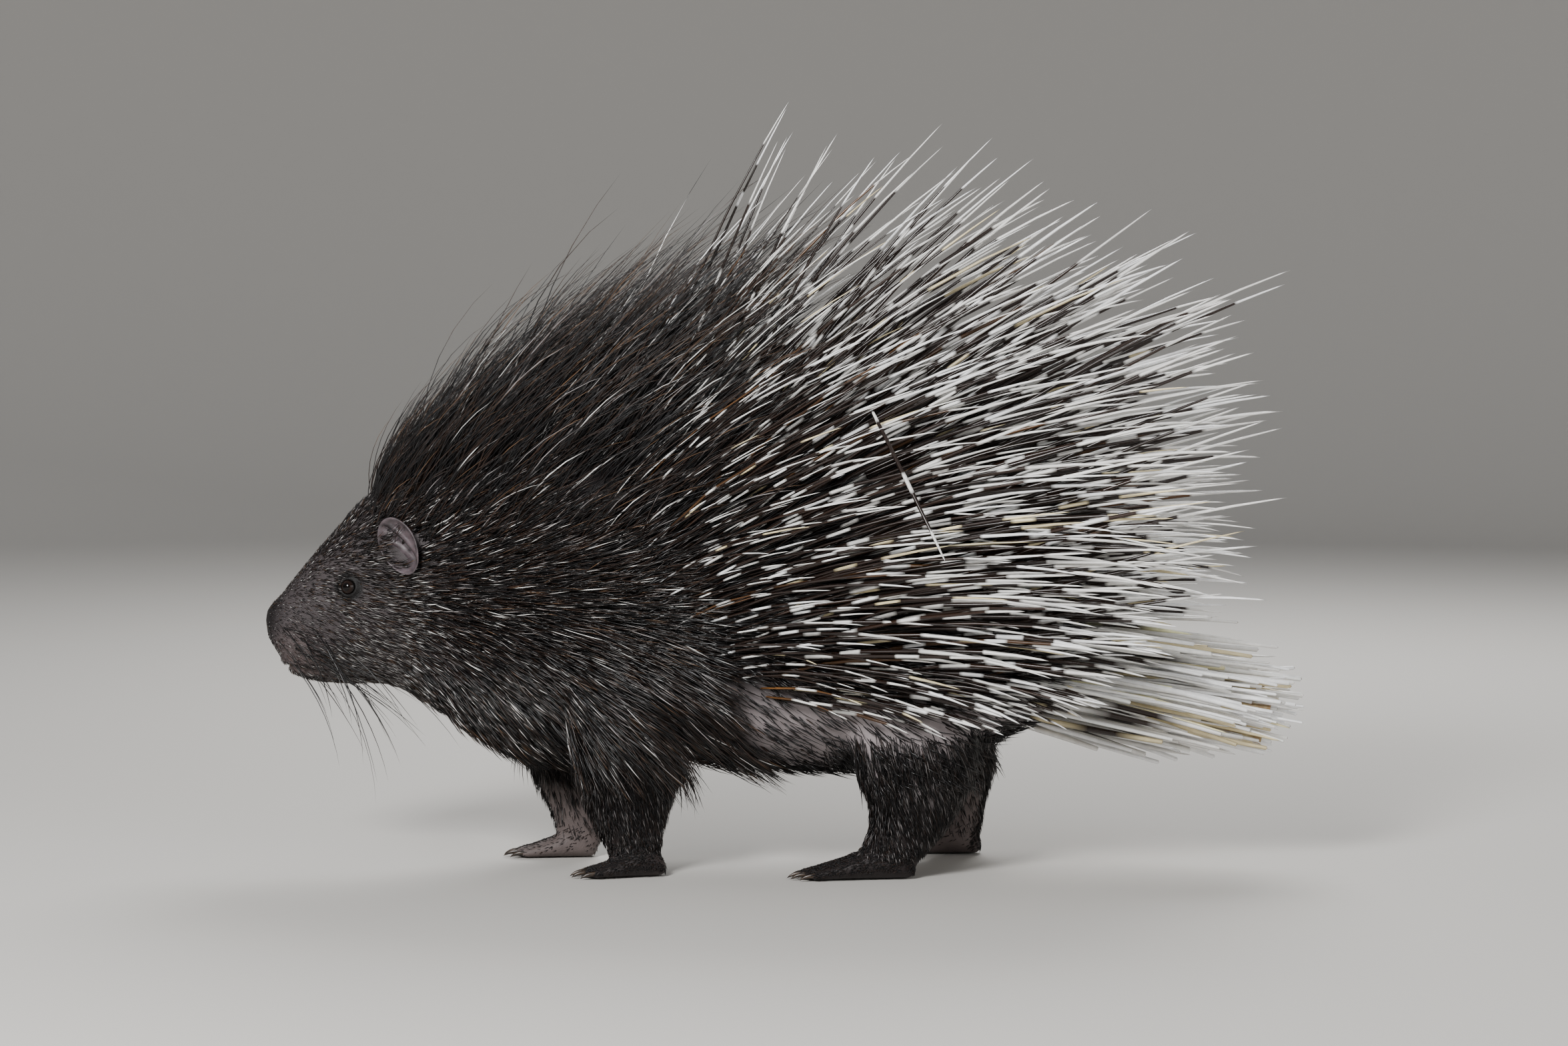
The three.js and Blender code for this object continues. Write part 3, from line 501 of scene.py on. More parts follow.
def makeSkin():
    parts = [trunkObject()]
    parts += [legObject(name, leg) for name, leg in legs.items()]
    for name, foot in feet.items():
        parts += footObjects(name, foot)
    hide = joined(parts, "hide")
    remesh = hide.modifiers.new("remesh", "REMESH")
    remesh.mode = "VOXEL"
    remesh.voxel_size = body["voxel"] * mm
    applyAll(hide)
    mesh = bmesh.new()                                          # a finer mesh on the head
    mesh.from_mesh(hide.data)
    headFaces = [f for f in mesh.faces if f.calc_center_median().x < face["fineBefore"] * mm]
    edges = list({e for f in headFaces for e in f.edges})
    bmesh.ops.subdivide_edges(mesh, edges=edges, cuts=1, use_grid_fill=True, smooth=0.0)
    bmesh.ops.triangulate(mesh, faces=[f for f in mesh.faces if len(f.verts) > 4])
    mesh.to_mesh(hide.data)
    mesh.free()
    smooth = hide.modifiers.new("smooth", "SMOOTH")
    smooth.factor, smooth.iterations = 0.5, 6
    applyAll(hide)
    sculptHead(hide)
    relax = hide.modifiers.new("relax", "SMOOTH")
    relax.factor, relax.iterations = 0.35, 1
    applyAll(hide)
    places = coords(hide)
    places[:, 2] = np.maximum(places[:, 2], 0.0004)  # nothing under the floor
    setCoords(hide, places)
    pick(hide)
    bpy.ops.object.shade_smooth()
    return hide


def skinMaterial():
    # Skin, bare on the muzzle and belly, dull and finely creased
    material, tree = newMaterial("creasedSkin")
    place = objectPlace(tree)
    x, y, z = addNode(tree, "ShaderNodeSeparateXYZ", i0=place).outputs
    blend = ramp(tree, rescaled(tree, x, *skin["faceX"]), [(0, skin["base"]), (0.8, skin["face"])])
    eyelids = [("eyelid", tuple(eyeCentre(side)[0] * mm), *skin["eyelidReach"]) for side in (-1, 1)]
    for key, centre, far, near in skin["spots"] + eyelids:
        share = rescaled(tree, distanceTo(tree, place, centre), far, near)
        blend = mixed(tree, share, blend, skin[key])
    low, behind = rescaled(tree, z, *skin["bellyZ"]), rescaled(tree, x, *skin["bellyX"])
    belly = addNode(tree, "ShaderNodeMath", {"operation": "MULTIPLY"}, i0=low, i1=behind).outputs[0]
    blend = mixed(tree, belly, blend, skin["belly"])
    level = addNode(tree, "ShaderNodeMath", {"operation": "ABSOLUTE"}, i0=y).outputs[0]
    inside = rescaled(tree, level, *skin["insideY"])
    legTone = ramp(tree, inside, [(0, skin["shankOutside"]), (1, skin["shankInside"])])
    shank = rescaled(tree, z, *skin["shankZ"])
    blend = addNode(tree, "ShaderNodeMixRGB", i0=shank, i1=blend, i2=legTone).outputs[0]
    tint = mottled(tree, blend, place, 14, 4.0, 0.7, 1.25)
    cells = {"feature": "DISTANCE_TO_EDGE", "Scale": 1 / (2.2 * mm)}
    creases = addNode(tree, "ShaderNodeTexVoronoi", cells, Vector=place).outputs[0]
    grain = noiseAt(tree, place, 1.2, 3.0)
    both = addNode(tree, "ShaderNodeMath", {"operation": "ADD"}, i0=creases, i1=grain).outputs[0]
    bump = bumpFrom(tree, both, skin["bump"])
    return setSurface(material, {"Roughness": 0.6, "Specular IOR Level": 0.3}, tint, bump)


# coat

coat = {
    "black": "#0d0b0c", "brown": "#2b1c14", "tan": "#5f4630", "gold": "#6b4826", "grey": "#85807f",
    "white": "#eae8e4", "ivory": "#dccda4",
    "patch": 0.003,     # the size of one strand's patch in the unwrap
}
tone = {name: np.array(srgb(code)) for name, code in coat.items() if isinstance(code, str)}


sideways = np.array([[0.0, 1.0, 0.0]])
# the unwrap: the body's first and last x, the height where its legs end, and the x between fore and hind
unwrap = {"front": -530, "back": 370, "legTop": 96, "between": -60}


def strandMesh(name, lines, widths, guide, patches, tints, sides=3, twist=None):
    # lines: strands x points x 3 in mm, the last point is the tip; widths: strands x rings
    count, points = lines.shape[:2]
    rings = points - 1
    ahead = unit(np.concatenate([lines[:, 1:2] - lines[:, :1], lines[:, 2:] - lines[:, :-2]], 1))
    across = unit(np.cross(ahead, guide[:, None, :]))
    over = np.cross(across, ahead)
    if twist is not None:
        c, s = np.cos(twist)[:, None, None], np.sin(twist)[:, None, None]
        across, over = across * c + over * s, over * c - across * s
    angle = np.arange(sides) * 2 * math.pi / sides
    ring = (across[:, :, None, :] * np.cos(angle)[None, None, :, None]
            + over[:, :, None, :] * np.sin(angle)[None, None, :, None])
    ringPlaces = lines[:, :rings, None, :] + ring * (widths[:, :, None, None] / 2)
    places = np.concatenate([ringPlaces.reshape(count, rings * sides, 3), lines[:, -1:, :]], 1)
    perStrand = rings * sides + 1
    k, last = np.arange(rings - 1)[:, None] * sides, (rings - 1) * sides
    s = np.arange(sides)
    n = (s + 1) % sides
    quad = np.stack([k + s, k + n, k + sides + n, k + sides + s], -1).reshape(-1, 4)
    tip = np.stack([last + s, last + n, np.full(sides, rings * sides)], -1)
    base = np.arange(sides)[::-1][None, :]
    if sides == 4:
        quad = np.concatenate([quad, base])
    else:
        tip = np.concatenate([tip, base])
    offset = (np.arange(count) * perStrand)[:, None, None]
    quads, tris = (quad[None] + offset).reshape(-1, 4), (tip[None] + offset).reshape(-1, 3)
    obj = meshFromArrays(name, places.reshape(-1, 3) * mm, quads, tris)
    vertexU = np.concatenate([np.tile(np.arange(sides) / sides, rings), [0.5]])
    vertexV = np.concatenate([np.repeat(np.arange(rings) / rings, sides), [1.0]])
    local = np.stack([vertexU, vertexV], -1) * coat["patch"]
    uv = (patches[:, None, :] + local[None]).reshape(-1, 2)
    index = np.zeros(len(obj.data.loops), np.int32)
    obj.data.loops.foreach_get("vertex_index", index)
    obj.data.uv_layers.new(name="OFBake").data.foreach_set("uv", uv[index].ravel())
    colour = np.ones((count, perStrand, 4))
    colour[:, :rings * sides, :3] = np.repeat(tints[:, :rings], sides, 1)
    colour[:, -1, :3] = tints[:, -1]
    layer = obj.data.color_attributes.new("tint", "FLOAT_COLOR", "POINT")
    layer.data.foreach_set("color", colour.ravel())
    return obj


def patchAt(places):  # a root's place on an unwrap of the body, and of each leg below it
    x, y, z = places.T
    front, back, legTop = unwrap["front"], unwrap["back"], unwrap["legTop"]
    u = 0.01 + 0.97 * (np.clip(x, front, back) - front) / (back - front)
    v = 0.3 + 0.69 * (turnOf(places) / 360 + 0.5)
    cell = (y > 0) * 1 + (x > unwrap["between"]) * 2
    rows = [np.asarray(leg["rows"], float) for leg in legs.values()]
    middle, out = [np.select([cell == i for i in range(4)], [valueAt(rows[i], z, c) for i in range(4)])
                   for c in (1, 3)]
    around = np.degrees(np.arctan2(np.abs(y) - out, x - middle)) / 360 + 0.5
    u = np.where(z < legTop, 0.01 + 0.245 * cell + 0.23 * around, u)
    v = np.where(z < legTop, 0.01 + 0.26 * np.clip(z, 0, legTop) / legTop, v)
    return np.stack([u, v], -1)


def sampleSkin(hide, count, keep):  # random places on the skin, even by area, where keep says so
    mesh = hide.data
    mesh.calc_loop_triangles()
    index = np.zeros(len(mesh.loop_triangles) * 3, np.int32)
    mesh.loop_triangles.foreach_get("vertices", index)
    index = index.reshape(-1, 3)
    places, normals = coords(hide) / mm, vertexValues(hide, "normal")
    corner = places[index]
    middle = corner.mean(1)
    area = np.linalg.norm(np.cross(corner[:, 1] - corner[:, 0], corner[:, 2] - corner[:, 0]), axis=1)
    area = area * keep(middle, unit(normals[index].mean(1)))
    chosen = rng.choice(len(index), count, p=area / area.sum())
    r1, r2 = np.sqrt(rng.random(count)), rng.random(count)
    weight = np.stack([1 - r1, r1 * (1 - r2), r1 * r2], -1)[:, :, None]
    return (corner[chosen] * weight).sum(1), unit((normals[index[chosen]] * weight).sum(1))


def lyingLines(roots, normals, flow, length, rise, settle, points, sink=1.0):
    # strands that leave the skin at one angle and settle to another, in degrees
    flat = unit(flow - normals * (flow * normals).sum(1, keepdims=True))
    lines = [roots - normals * sink]
    place = roots.copy()
    steps = points - 1
    for i in range(steps):
        angle = np.radians(rise + (settle - rise) * (i + 0.5) / steps)[:, None]
        place = place + (flat * np.cos(angle) + normals * np.sin(angle)) * (length / steps)[:, None]
        lines.append(place)
    return np.stack(lines, 1)


def spread(count, low, high):
    return low + (high - low) * rng.random(count)


def varied(count, profile, low, high):  # the width at each ring, mm, times a random share for each strand
    return np.tile(profile, (count, 1)) * spread(count, low, high)[:, None]


def shades(count, names, weights):  # a tone for each strand, drawn by weight, some darker and some lighter
    table = np.array([tone[name] for name in names])
    picked = rng.choice(len(names), count, p=np.array(weights) / sum(weights))
    return table[picked] * spread(count, 0.7, 1.3)[:, None]


def blackBrown(count, brown):
    return shades(count, ["black", "brown"], [1 - brown, brown])


def fadeTints(rootTone, tipTone, points, start=0.0):
    share = np.clip((np.linspace(0, 1, points) - start) / (1 - start), 0, 1)[None, :, None]
    return rootTone[:, None, :] * (1 - share) + tipTone[:, None, :] * share


def coatMaterial(name, roughness, glow):
    # Keratin hair and horn: a hard, smooth surface with long, bright highlights
    material, tree = newMaterial(name)
    tint = addNode(tree, "ShaderNodeAttribute", {"attribute_name": "tint"}).outputs["Color"]
    tint = mottled(tree, tint, objectPlace(tree), 9, 2.0, 0.8, 1.2)
    return setSurface(material, {"Roughness": roughness, "Specular IOR Level": glow}, tint)


# quills

quills = {
    # x, lift at ridge, flank and belly edge, then length at the same three, mm
    "rows": np.array([
        [-150, 60, 26, -6, 310, 120, 55], [-87, 53, 16, -9, 392, 210, 75], [-20, 43, 9, -12, 396, 260, 90],
        [47, 33, 4, -14, 412, 285, 105], [114, 23, 2, -14, 388, 262, 105], [181, 12, 4, -14, 320, 195, 85],
        [240, 6, 1, -16, 235, 120, 70]], float),
    "spacing": 12.8, "bend": 24, "flare": 20, "thin": 2.3, "stout": 5.2,
    "tipWhite": 92, "darkBand": 44, "whiteBand": 26,   # mm, on a quill of 300 mm or more
    "allDark": 0.3,     # share of the quills that are white at the tip alone
    "roughness": 0.24,
    # name, shortest and longest, mm, and pairs of bands
    "sets": [("quillsLong", 240, 999, 4), ("quillsMiddle", 110, 240, 3), ("quillsShort", 0, 110, 1)],
    "underfur": 11000, "underfurLength": (30, 125), "underfurWidths": [1.1, 1.5],
}
# long quills that draw the fan's outline: tip x, tip height, root x, root turn
fan = np.array([
    [2, 768, -142, 4], [-9, 728, -126, 16], [-1, 722, -96, 2], [50, 736, -84, 10], [86, 712, -58, 18],
    [204, 732, -46, 6], [183, 712, -52, 18], [220, 690, -20, 12], [262, 682, 6, 4], [307, 668, 18, 14],
    [292, 646, 6, 26], [254, 626, -12, 30], [401, 640, 72, 6], [344, 617, 36, 24], [387, 613, 64, 30],
    [500, 601, 110, 10], [330, 598, 20, 38], [436, 573, 96, 26], [439, 557, 112, 18], [438, 538, 92, 40],
    [456, 521, 118, 34], [454, 493, 126, 44], [438, 470, 104, 54], [463, 455, 142, 46], [485, 447, 152, 34],
    [446, 429, 122, 60], [486, 381, 168, 52], [406, 382, 110, 72], [454, 336, 152, 66], [440, 352, 150, 76],
    [463, 284, 178, 74], [420, 292, 158, 84], [410, 330, 128, 82],
], float)


def byTurn(rows, x, turn, columns):
    ridge, flank, belly = [valueAt(rows, x, c) for c in columns]
    return np.where(turn < 90, ridge + (flank - ridge) * turn / 90,
                    flank + (belly - flank) * np.clip((turn - 90) / 25, 0, 1))


def rootsOver(low, high, spacing, limit):  # even, staggered roots over the body, x and turn
    found = []
    for row, x in enumerate(np.arange(low, high, spacing)):
        turn = -limit(x) + (row % 2) * 2.5
        while turn < limit(x):
            found.append((x, turn))
            width = np.linalg.norm(bodyPoint(x, turn + 1) - bodyPoint(x, turn - 1)) / 2
            turn += spacing / width
    found = np.array(found)
    found[:, 0] += spread(len(found), -0.4, 0.4) * spacing
    found[:, 1] += spread(len(found), -2, 2)
    return found


def bentLines(roots, side, length, lift, bend, flare, stations, sink):
    # stations: strands x points, the share of the length at each point after the first
    lines = [roots + sink]
    place = roots.copy()
    last = np.zeros(len(roots))
    for share in stations.T:
        middle = (last + share) / 2
        step = heading(lift + bend * (0.5 - middle), flare * (0.8 + 0.4 * middle), side)
        place = place + step * (length * (share - last))[:, None]
        last = share
        lines.append(place)
    return np.stack(lines, 1)


def bowedLines(roots, tips, bow, stations):  # bowed upwards between root and tip
    chord = tips - roots
    rise = np.stack([-chord[:, 2], np.zeros(len(roots)), chord[:, 0]], -1)
    control = (roots + tips) / 2 + rise * bow[:, None]
    return curvedLines(roots, control, tips, stations)


def curvedLines(roots, control, tips, stations):
    t = np.concatenate([np.zeros((len(roots), 1)), stations], 1)[:, :, None]
    return (1 - t) ** 2 * roots[:, None] + 2 * t * (1 - t) * control[:, None] + t ** 2 * tips[:, None]


def bandedQuills(name, roots, length, girth, pairs, pathAt):
    # bands are laid from the tip inwards: white tip, then dark and white in turn, dark at the root
    count = len(roots)
    tipWhite = quills["tipWhite"] * np.clip(length / 300, 0.25, 1) ** 1.3
    front = np.interp(roots[:, 0], [-150, 40], [0.5, 1])
    back = [tipWhite * spread(count, 0.5, 1.35)]
    for _ in range(pairs):
        back.append(back[-1] + quills["darkBand"] * np.clip(length / 200, 0.45, 1) * spread(count, 0.6, 1.7))
        back.append(back[-1] + quills["whiteBand"] * front * spread(count, 0.65, 1.3))
    edges = 1 - np.stack(back[::-1], -1) / length[:, None]
    changes = edges.shape[1]
    soft = (spread(count, 1.2, 3.4) / length)[:, None]
    tipRings = edges[:, -1:] + (1 - edges[:, -1:]) * np.array([[0.5, 0.86]])
    paired = np.stack([edges - soft, edges + soft], -1).reshape(count, -1)
    stations = np.concatenate([edges[:, :1] / 2, paired, tipRings], 1)
    stations = np.clip(stations, 0.012, 0.97) + np.arange(stations.shape[1]) * 3e-4
    stations = np.maximum.accumulate(stations, 1)
    stations = np.concatenate([stations, np.ones((count, 1))], 1)
    lines = pathAt(stations)
    share = np.concatenate([np.zeros((count, 1)), stations[:, :-1]], 1)
    profile = np.interp(share, [0, 0.06, 0.35, 0.62, 0.82, 0.93, 1], [0.55, 0.8, 1.0, 0.94, 0.7, 0.48, 0.2])
    widths = profile * girth[:, None]
    beside = np.repeat(np.arange(changes), 2) + np.tile([0, 1], changes)
    band = np.concatenate([[0, 0], beside, [changes] * 3])
    white = np.tile(band % 2 == 1, (count, 1))
    white[:, band < changes] &= (rng.random(count) > quills["allDark"])[:, None]
    dark = shades(count, ["black", "brown", "gold"], [0.84, 0.12, 0.04])
    light = np.minimum(shades(count, ["white", "ivory"], [0.94, 0.06]), 0.9)
    rust = dark * 0.45 + tone["brown"] * 0.55
    edge = np.zeros(len(band), bool)
    edge[2:2 + 2 * changes] = True
    shaft = np.where(edge[None, :, None], rust[:, None, :], dark[:, None, :])
    tints = np.where(white[:, :, None], light[:, None, :], shaft)
    return strandMesh(name, lines, widths, sideways, patchAt(roots), tints, 4, spread(count, 0, 1.5))


def makeQuills():
    limit = lambda x: np.interp(x, [-150, -20], [88, 115])
    x, turn = rootsOver(-152, 250, quills["spacing"], limit).T
    steep, count = np.abs(turn), len(x)
    full = byTurn(quills["rows"], x, steep, [4, 5, 6])
    cut = np.where(rng.random(count) < 0.55, spread(count, 0.84, 1.05), spread(count, 0.4, 0.9))
    length = full * cut
    lift = byTurn(quills["rows"], x, steep, [1, 2, 3]) + rng.normal(0, 4.0, count)
    bend = quills["bend"] + rng.normal(0, 8, count)
    flare = quills["flare"] * (steep / 90) ** 0.8 + rng.normal(0, 3, count)
    stout = np.interp(x, [-150, 20], [quills["thin"], quills["stout"]]) * spread(count, 0.62, 1.08)
    girth = stout * np.interp(length, [40, 160], [0.5, 1])
    made = []
    for name, low, high, pairs in quills["sets"]:
        k = (length >= low) & (length < high)
        place, sink = bodyPoint(x[k], turn[k]), -bodyNormal(x[k], turn[k]) * 5
        shape = (place, sideOf(turn[k]), length[k], lift[k], bend[k], flare[k])
        path = lambda stations: bentLines(*shape, stations, sink)
        made.append(bandedQuills(name, place, length[k], girth[k], pairs, path))
        print(name, int(k.sum()), "quills")
    return made


stray = {"root": (82.0, -146.0, 466.0), "tip": (150.0, -233.0, 326.0), "bulge": (-3, -12, 8), "girth": 4.6}


def makeStray():  # one loose quill, caught across the others on the left flank
    roots, tips = np.array([stray["root"]]), np.array([stray["tip"]])
    length = np.linalg.norm(tips - roots, axis=1)
    control = (roots + tips) / 2 + stray["bulge"]
    path = lambda stations: curvedLines(roots, control, tips, stations)
    return bandedQuills("quillStray", roots, length, np.array([stray["girth"]]), 4, path)


def makeFan():
    rows = np.concatenate([fan * [1, 1, 1, -1], fan + rng.normal(0, 9, fan.shape) * [1, 1, 1, 0.3]])
    count = len(rows)
    side = np.where(np.arange(count) < len(fan), -1.0, 1.0)
    roots = bodyPoint(rows[:, 2], rows[:, 3])
    tips = np.stack([rows[:, 0], roots[:, 1] + side * np.abs(rows[:, 3]) * 0.9, rows[:, 1]], -1)
    tips[:, 0] = np.minimum(tips[:, 0], 505)
    length = np.linalg.norm(tips - roots, axis=1)
    stoutness = np.interp(rows[:, 2], [-110, 20], [3.0, 4.8]) * spread(count, 0.85, 1.1)
    path = lambda stations: bowedLines(roots, tips, spread(count, 0.03, 0.1), stations)
    return bandedQuills("quillsFan", roots, length, stoutness, 5, path)


def makeUnderfur(hide):  # black bristles between the quills
    keep = lambda p, n: (p[:, 0] > -175) & (p[:, 0] < 250) & (np.abs(turnOf(p)) < 112) & (p[:, 2] > 160)
    count = quills["underfur"]
    roots, normals = sampleSkin(hide, count, keep)
    turn = turnOf(roots)
    steep = np.abs(turn)
    lift = byTurn(quills["rows"], roots[:, 0], steep, [1, 2, 3]) + rng.normal(0, 7, count)
    length = spread(count, *quills["underfurLength"]) * np.interp(steep, [50, 110], [1, 0.4])
    stations = np.tile([0.45, 1.0], (count, 1))
    flare = 22 * (steep / 90) ** 0.8 + rng.normal(0, 5, count)
    lines = bentLines(roots, sideOf(turn), length, lift, np.full(count, 18.0), flare, stations, -normals * 2)
    widths = varied(count, quills["underfurWidths"], 0.7, 1.3)
    tints = fadeTints(blackBrown(count, 0.15), blackBrown(count, 0.2), 3)
    return strandMesh("underfur", lines, widths, normals, patchAt(roots), tints)


# crest

crest = {
    # x, lift at the ridge and side, length at the same two, mm
    "rows": np.array([
        [-415, 62, 52, 108, 60], [-378, 59, 48, 178, 95], [-345, 56, 45, 230, 120], [-310, 54, 42, 260, 140],
        [-245, 54, 38, 288, 150], [-180, 55, 34, 296, 150], [-110, 55, 28, 305, 150]], float),
    "count": 3400, "reach": 66, "width": 1.5, "bend": 42,
    # share of brown roots, weights of the tips' and light bands' tones, where a band starts and its length;
    # a light band is partly the bristle's own white band and partly painted highlight
    "tones": {"brown": 0.25, "tips": [0.5, 0.38, 0.12], "bandAndGlintWeights": [0.5, 0.5],
              "start": (0.15, 0.6), "reach": (0.16, 0.42)},
}


def whiteBandAndGlintTints(count, whiteBandAndGlintChance, points, tones):  # some strands have a lighter band part of the way up, partly a white band and partly a painted highlight
    whiteBandAndGlint = rng.random(count) < whiteBandAndGlintChance
    root = blackBrown(count, tones["brown"])
    tip = shades(count, ["black", "brown", "tan"], tones["tips"])
    band = np.where(whiteBandAndGlint[:, None], shades(count, ["grey", "white"], tones["bandAndGlintWeights"]), root)
    first = spread(count, *tones["start"])
    last = first + spread(count, *tones["reach"])
    share = np.linspace(0, 1, points)[None, :, None]
    inside = (share > first[:, None, None]) & (share < last[:, None, None])
    plain = np.where(share < 0.6, root[:, None, :], tip[:, None, :])
    return whiteBandAndGlint, np.where(inside, band[:, None, :], plain)


def between(rows, x, share, first, second):  # part of the way from one column to another
    return valueAt(rows, x, first) * (1 - share) + valueAt(rows, x, second) * share


def makeCrest():
    count, rows = crest["count"], crest["rows"]
    x = spread(count, -418, -100)
    turn = rng.normal(0, 0.5, count).clip(-1, 1) * crest["reach"]
    share = np.abs(turn) / crest["reach"]
    length = between(rows, x, share, 3, 4)
    length = length * np.where(rng.random(count) < 0.4, spread(count, 0.8, 1.1), spread(count, 0.3, 0.9))
    lift = between(rows, x, share, 1, 2) + rng.normal(0, 5.5, count)
    bend = crest["bend"] + rng.normal(0, 14, count)
    flare = 15 * share + rng.normal(0, 3.5, count)
    stations = np.tile([0.1, 0.25, 0.4, 0.55, 0.7, 0.86, 1.0], (count, 1))
    roots, sink = bodyPoint(x, turn), -bodyNormal(x, turn) * 4
    lines = bentLines(roots, sideOf(turn), length, lift, bend, flare, stations, sink)
    profile = np.array([0.7, 1.0, 1.0, 0.9, 0.75, 0.6, 0.35])
    stout = crest["width"] * spread(count, 0.6, 1.35) * np.interp(length, [60, 200], [0.65, 1])
    # the share of bristles with a light band grows towards the back; the band is partly white and partly
    # painted highlight
    whiteBandAndGlintChance = np.interp(x, [-400, -330, -200, -100], [0.02, 0.05, 0.1, 0.28])
    whiteBandAndGlint, tints = whiteBandAndGlintTints(count, whiteBandAndGlintChance, 8, crest["tones"])
    widths = profile[None, :] * (stout * np.where(whiteBandAndGlint, 1.2, 1))[:, None]
    return strandMesh("crestBristles", lines, widths, sideways, patchAt(roots), tints)


# short fur and bristles

# how many strands, length and width at each ring, mm
fur = {
    "neck": {"count": 17000, "length": (20, 46), "widths": [0.8, 1.0, 0.95, 0.7],
             # the neck's light bands are partly white bands and partly painted highlight
             "tones": {"brown": 0.35, "tips": [0.5, 0.36, 0.14], "bandAndGlintWeights": [0.55, 0.45],
                       "start": (0.3, 0.6), "reach": (0.2, 0.5)}},
    "face": {"count": 17500, "widths": [0.5, 0.6]},
}
# length is times what the height gives; stray is how far the lie varies; rise and settle in degrees
shortHair = {
    "legFur": {"count": 19400, "length": (0.7, 1.35), "byHeight": ([24, 60, 150], [7, 13, 26]),
               "lie": (0.3, 0, -1.0), "stray": 0.12, "rise": (12, 30), "settle": (0, 14), "sink": 1.0,
               "lowest": 1.5, "widths": [0.8, 0.9], "vary": (0.6, 1.35), "brown": 0.12,
               # the grey share of the leg fur's tips is painted glint, light on black hair
               "tips": (["black", "brown", "grey"], [0.72, 0.13, 0.15])},
    "footFur": {"count": 7000, "length": (3, 6.5), "byHeight": ([0, 1], [1, 1]),
                "lie": (-1.0, 0, -0.35), "stray": 0.15, "rise": (10, 26), "settle": (0, 12), "sink": 0.5,
                "lowest": 1.0, "widths": [0.7, 0.7], "vary": (0.7, 1.25), "brown": 0.15,
                "tips": (["black", "brown"], [0.8, 0.2])},
    "bellyBristles": {"count": 2300, "length": (16, 40), "byHeight": ([0, 1], [1, 1]),
                      "lie": (1.0, 0, -0.55), "stray": 0.16, "rise": (10, 34), "settle": (-4, 14),
                      "sink": 1.0, "lowest": 0, "widths": [1.1, 1.25], "vary": (0.6, 1.4), "brown": 0.1,
                      "tips": (["black", "brown"], [0.9, 0.1])},
}


def bodyFlow(places):  # the lie of the coat, back along the body and down over the throat and belly
    x, y, z = places.T
    slope = np.interp(z, [90, 160, 220, 280, 340, 400], [-1.1, -0.9, -0.42, 0.02, 0.4, 0.55])
    slope = np.where(x < -395, np.interp(z, [190, 240, 300, 370], [-0.35, -0.3, -0.1, 0.5]), slope)
    back = np.interp(z, [60, 140], [0.25, 1.0])
    slope = np.where(z < 130, -1.1, slope)
    return np.stack([back, 0.06 * np.sign(y), slope], -1)


def awayFrom(places, spots):
    keep = np.ones(len(places))
    for centre, radius in spots:
        keep *= np.linalg.norm(places - np.asarray(centre), axis=1) > radius
    return keep


def headSpots():
    x, z = face["ear"]
    y = valueAt(body["rows"], x, 1)
    spots = [((-526, 0, 250), 17)]
    for side in (-1, 1):
        spots += [(eyeCentre(side)[0], 11.5), ((x, side * (y - 4), z), 18.0)]
    return spots


def makeNeckBristles(hide):  # a piece for each side
    def keep(p, n):
        turn = np.abs(turnOf(p))
        rear = np.interp(turn, [0, 60, 112, 140, 180], [-330, -120, -85, -60, 0])
        return (p[:, 0] > -385) * (p[:, 0] < rear) * (p[:, 2] > 120) * (turn > 22) * awayFrom(p, headSpots())
    kind = fur["neck"]
    count = kind["count"]
    roots, normals = sampleSkin(hide, count, keep)
    x, left = roots[:, 0], roots[:, 1] < 0
    length = spread(count, *kind["length"]) * np.interp(x, [-385, -330, -230, -110], [0.5, 1, 1.2, 1.6])
    rise, settle = spread(count, 14, 40), spread(count, -8, 16)
    flow = bodyFlow(roots) + rng.normal(0, 0.13, (count, 3))
    lines = lyingLines(roots, normals, flow, length, rise, settle, 5)
    widths = varied(count, kind["widths"], 0.6, 1.45)
    # light bands on some bristles, partly white bands and partly painted highlight
    whiteBandAndGlintChance = np.interp(x, [-380, -250, -150], [0.24, 0.12, 0.08])
    tints = whiteBandAndGlintTints(count, whiteBandAndGlintChance, 5, kind["tones"])[1]
    patches = patchAt(roots)
    return [strandMesh(name, lines[k], widths[k], normals[k], patches[k], tints[k])
            for name, k in (("neckBristlesLeft", left), ("neckBristlesRight", ~left))]


def makeFaceFur(hide):
    def keep(p, n):
        level = np.abs(p[:, 2] - mouthHeight(p[:, 0]))
        mouth = (p[:, 0] < -444) & (level < 2.2)
        return (p[:, 0] < -365) * ~mouth * awayFrom(p, headSpots())
    count = fur["face"]["count"]
    roots, normals = sampleSkin(hide, count, keep)
    x, z = roots[:, 0], roots[:, 2]
    length = np.interp(x, [-520, -490, -440, -370], [3, 6, 10.5, 16]) * spread(count, 0.7, 1.3)
    flow = bodyFlow(roots) + rng.normal(0, 0.1, (count, 3))
    earX, earZ = face["ear"]
    edge = np.linalg.norm((roots[:, [0, 2]] - (earX - 20, earZ)) / (11, 30), axis=1)
    lifted = np.exp(-edge ** 2)     # hair in front of the ear stands over its edge
    rise = spread(count, 12, 28) + 22 * lifted
    length = length * (1 + 0.3 * lifted)
    lines = lyingLines(roots, normals, flow, length, rise, spread(count, 2, 14), 3, sink=0.5)
    widths = varied(count, fur["face"]["widths"], 0.7, 1.3)
    widths *= np.interp(x, [-520, -400], [0.75, 1.2])[:, None]
    cheek = np.interp(z, [255, 315], [1, 0.3]) * np.interp(x, [-515, -470, -400], [0.25, 0.85, 1])
    rootTone = blackBrown(count, 0.25)
    pale = shades(count, ["grey", "tan", "brown", "white"], [0.56, 0.16, 0.14, 0.14])
    isPale = rng.random(count) < cheek * 0.8
    tipTone = np.where(isPale[:, None], pale, blackBrown(count, 0.3))
    return strandMesh("faceFur", lines, widths, normals, patchAt(roots), fadeTints(rootTone, tipTone, 3))


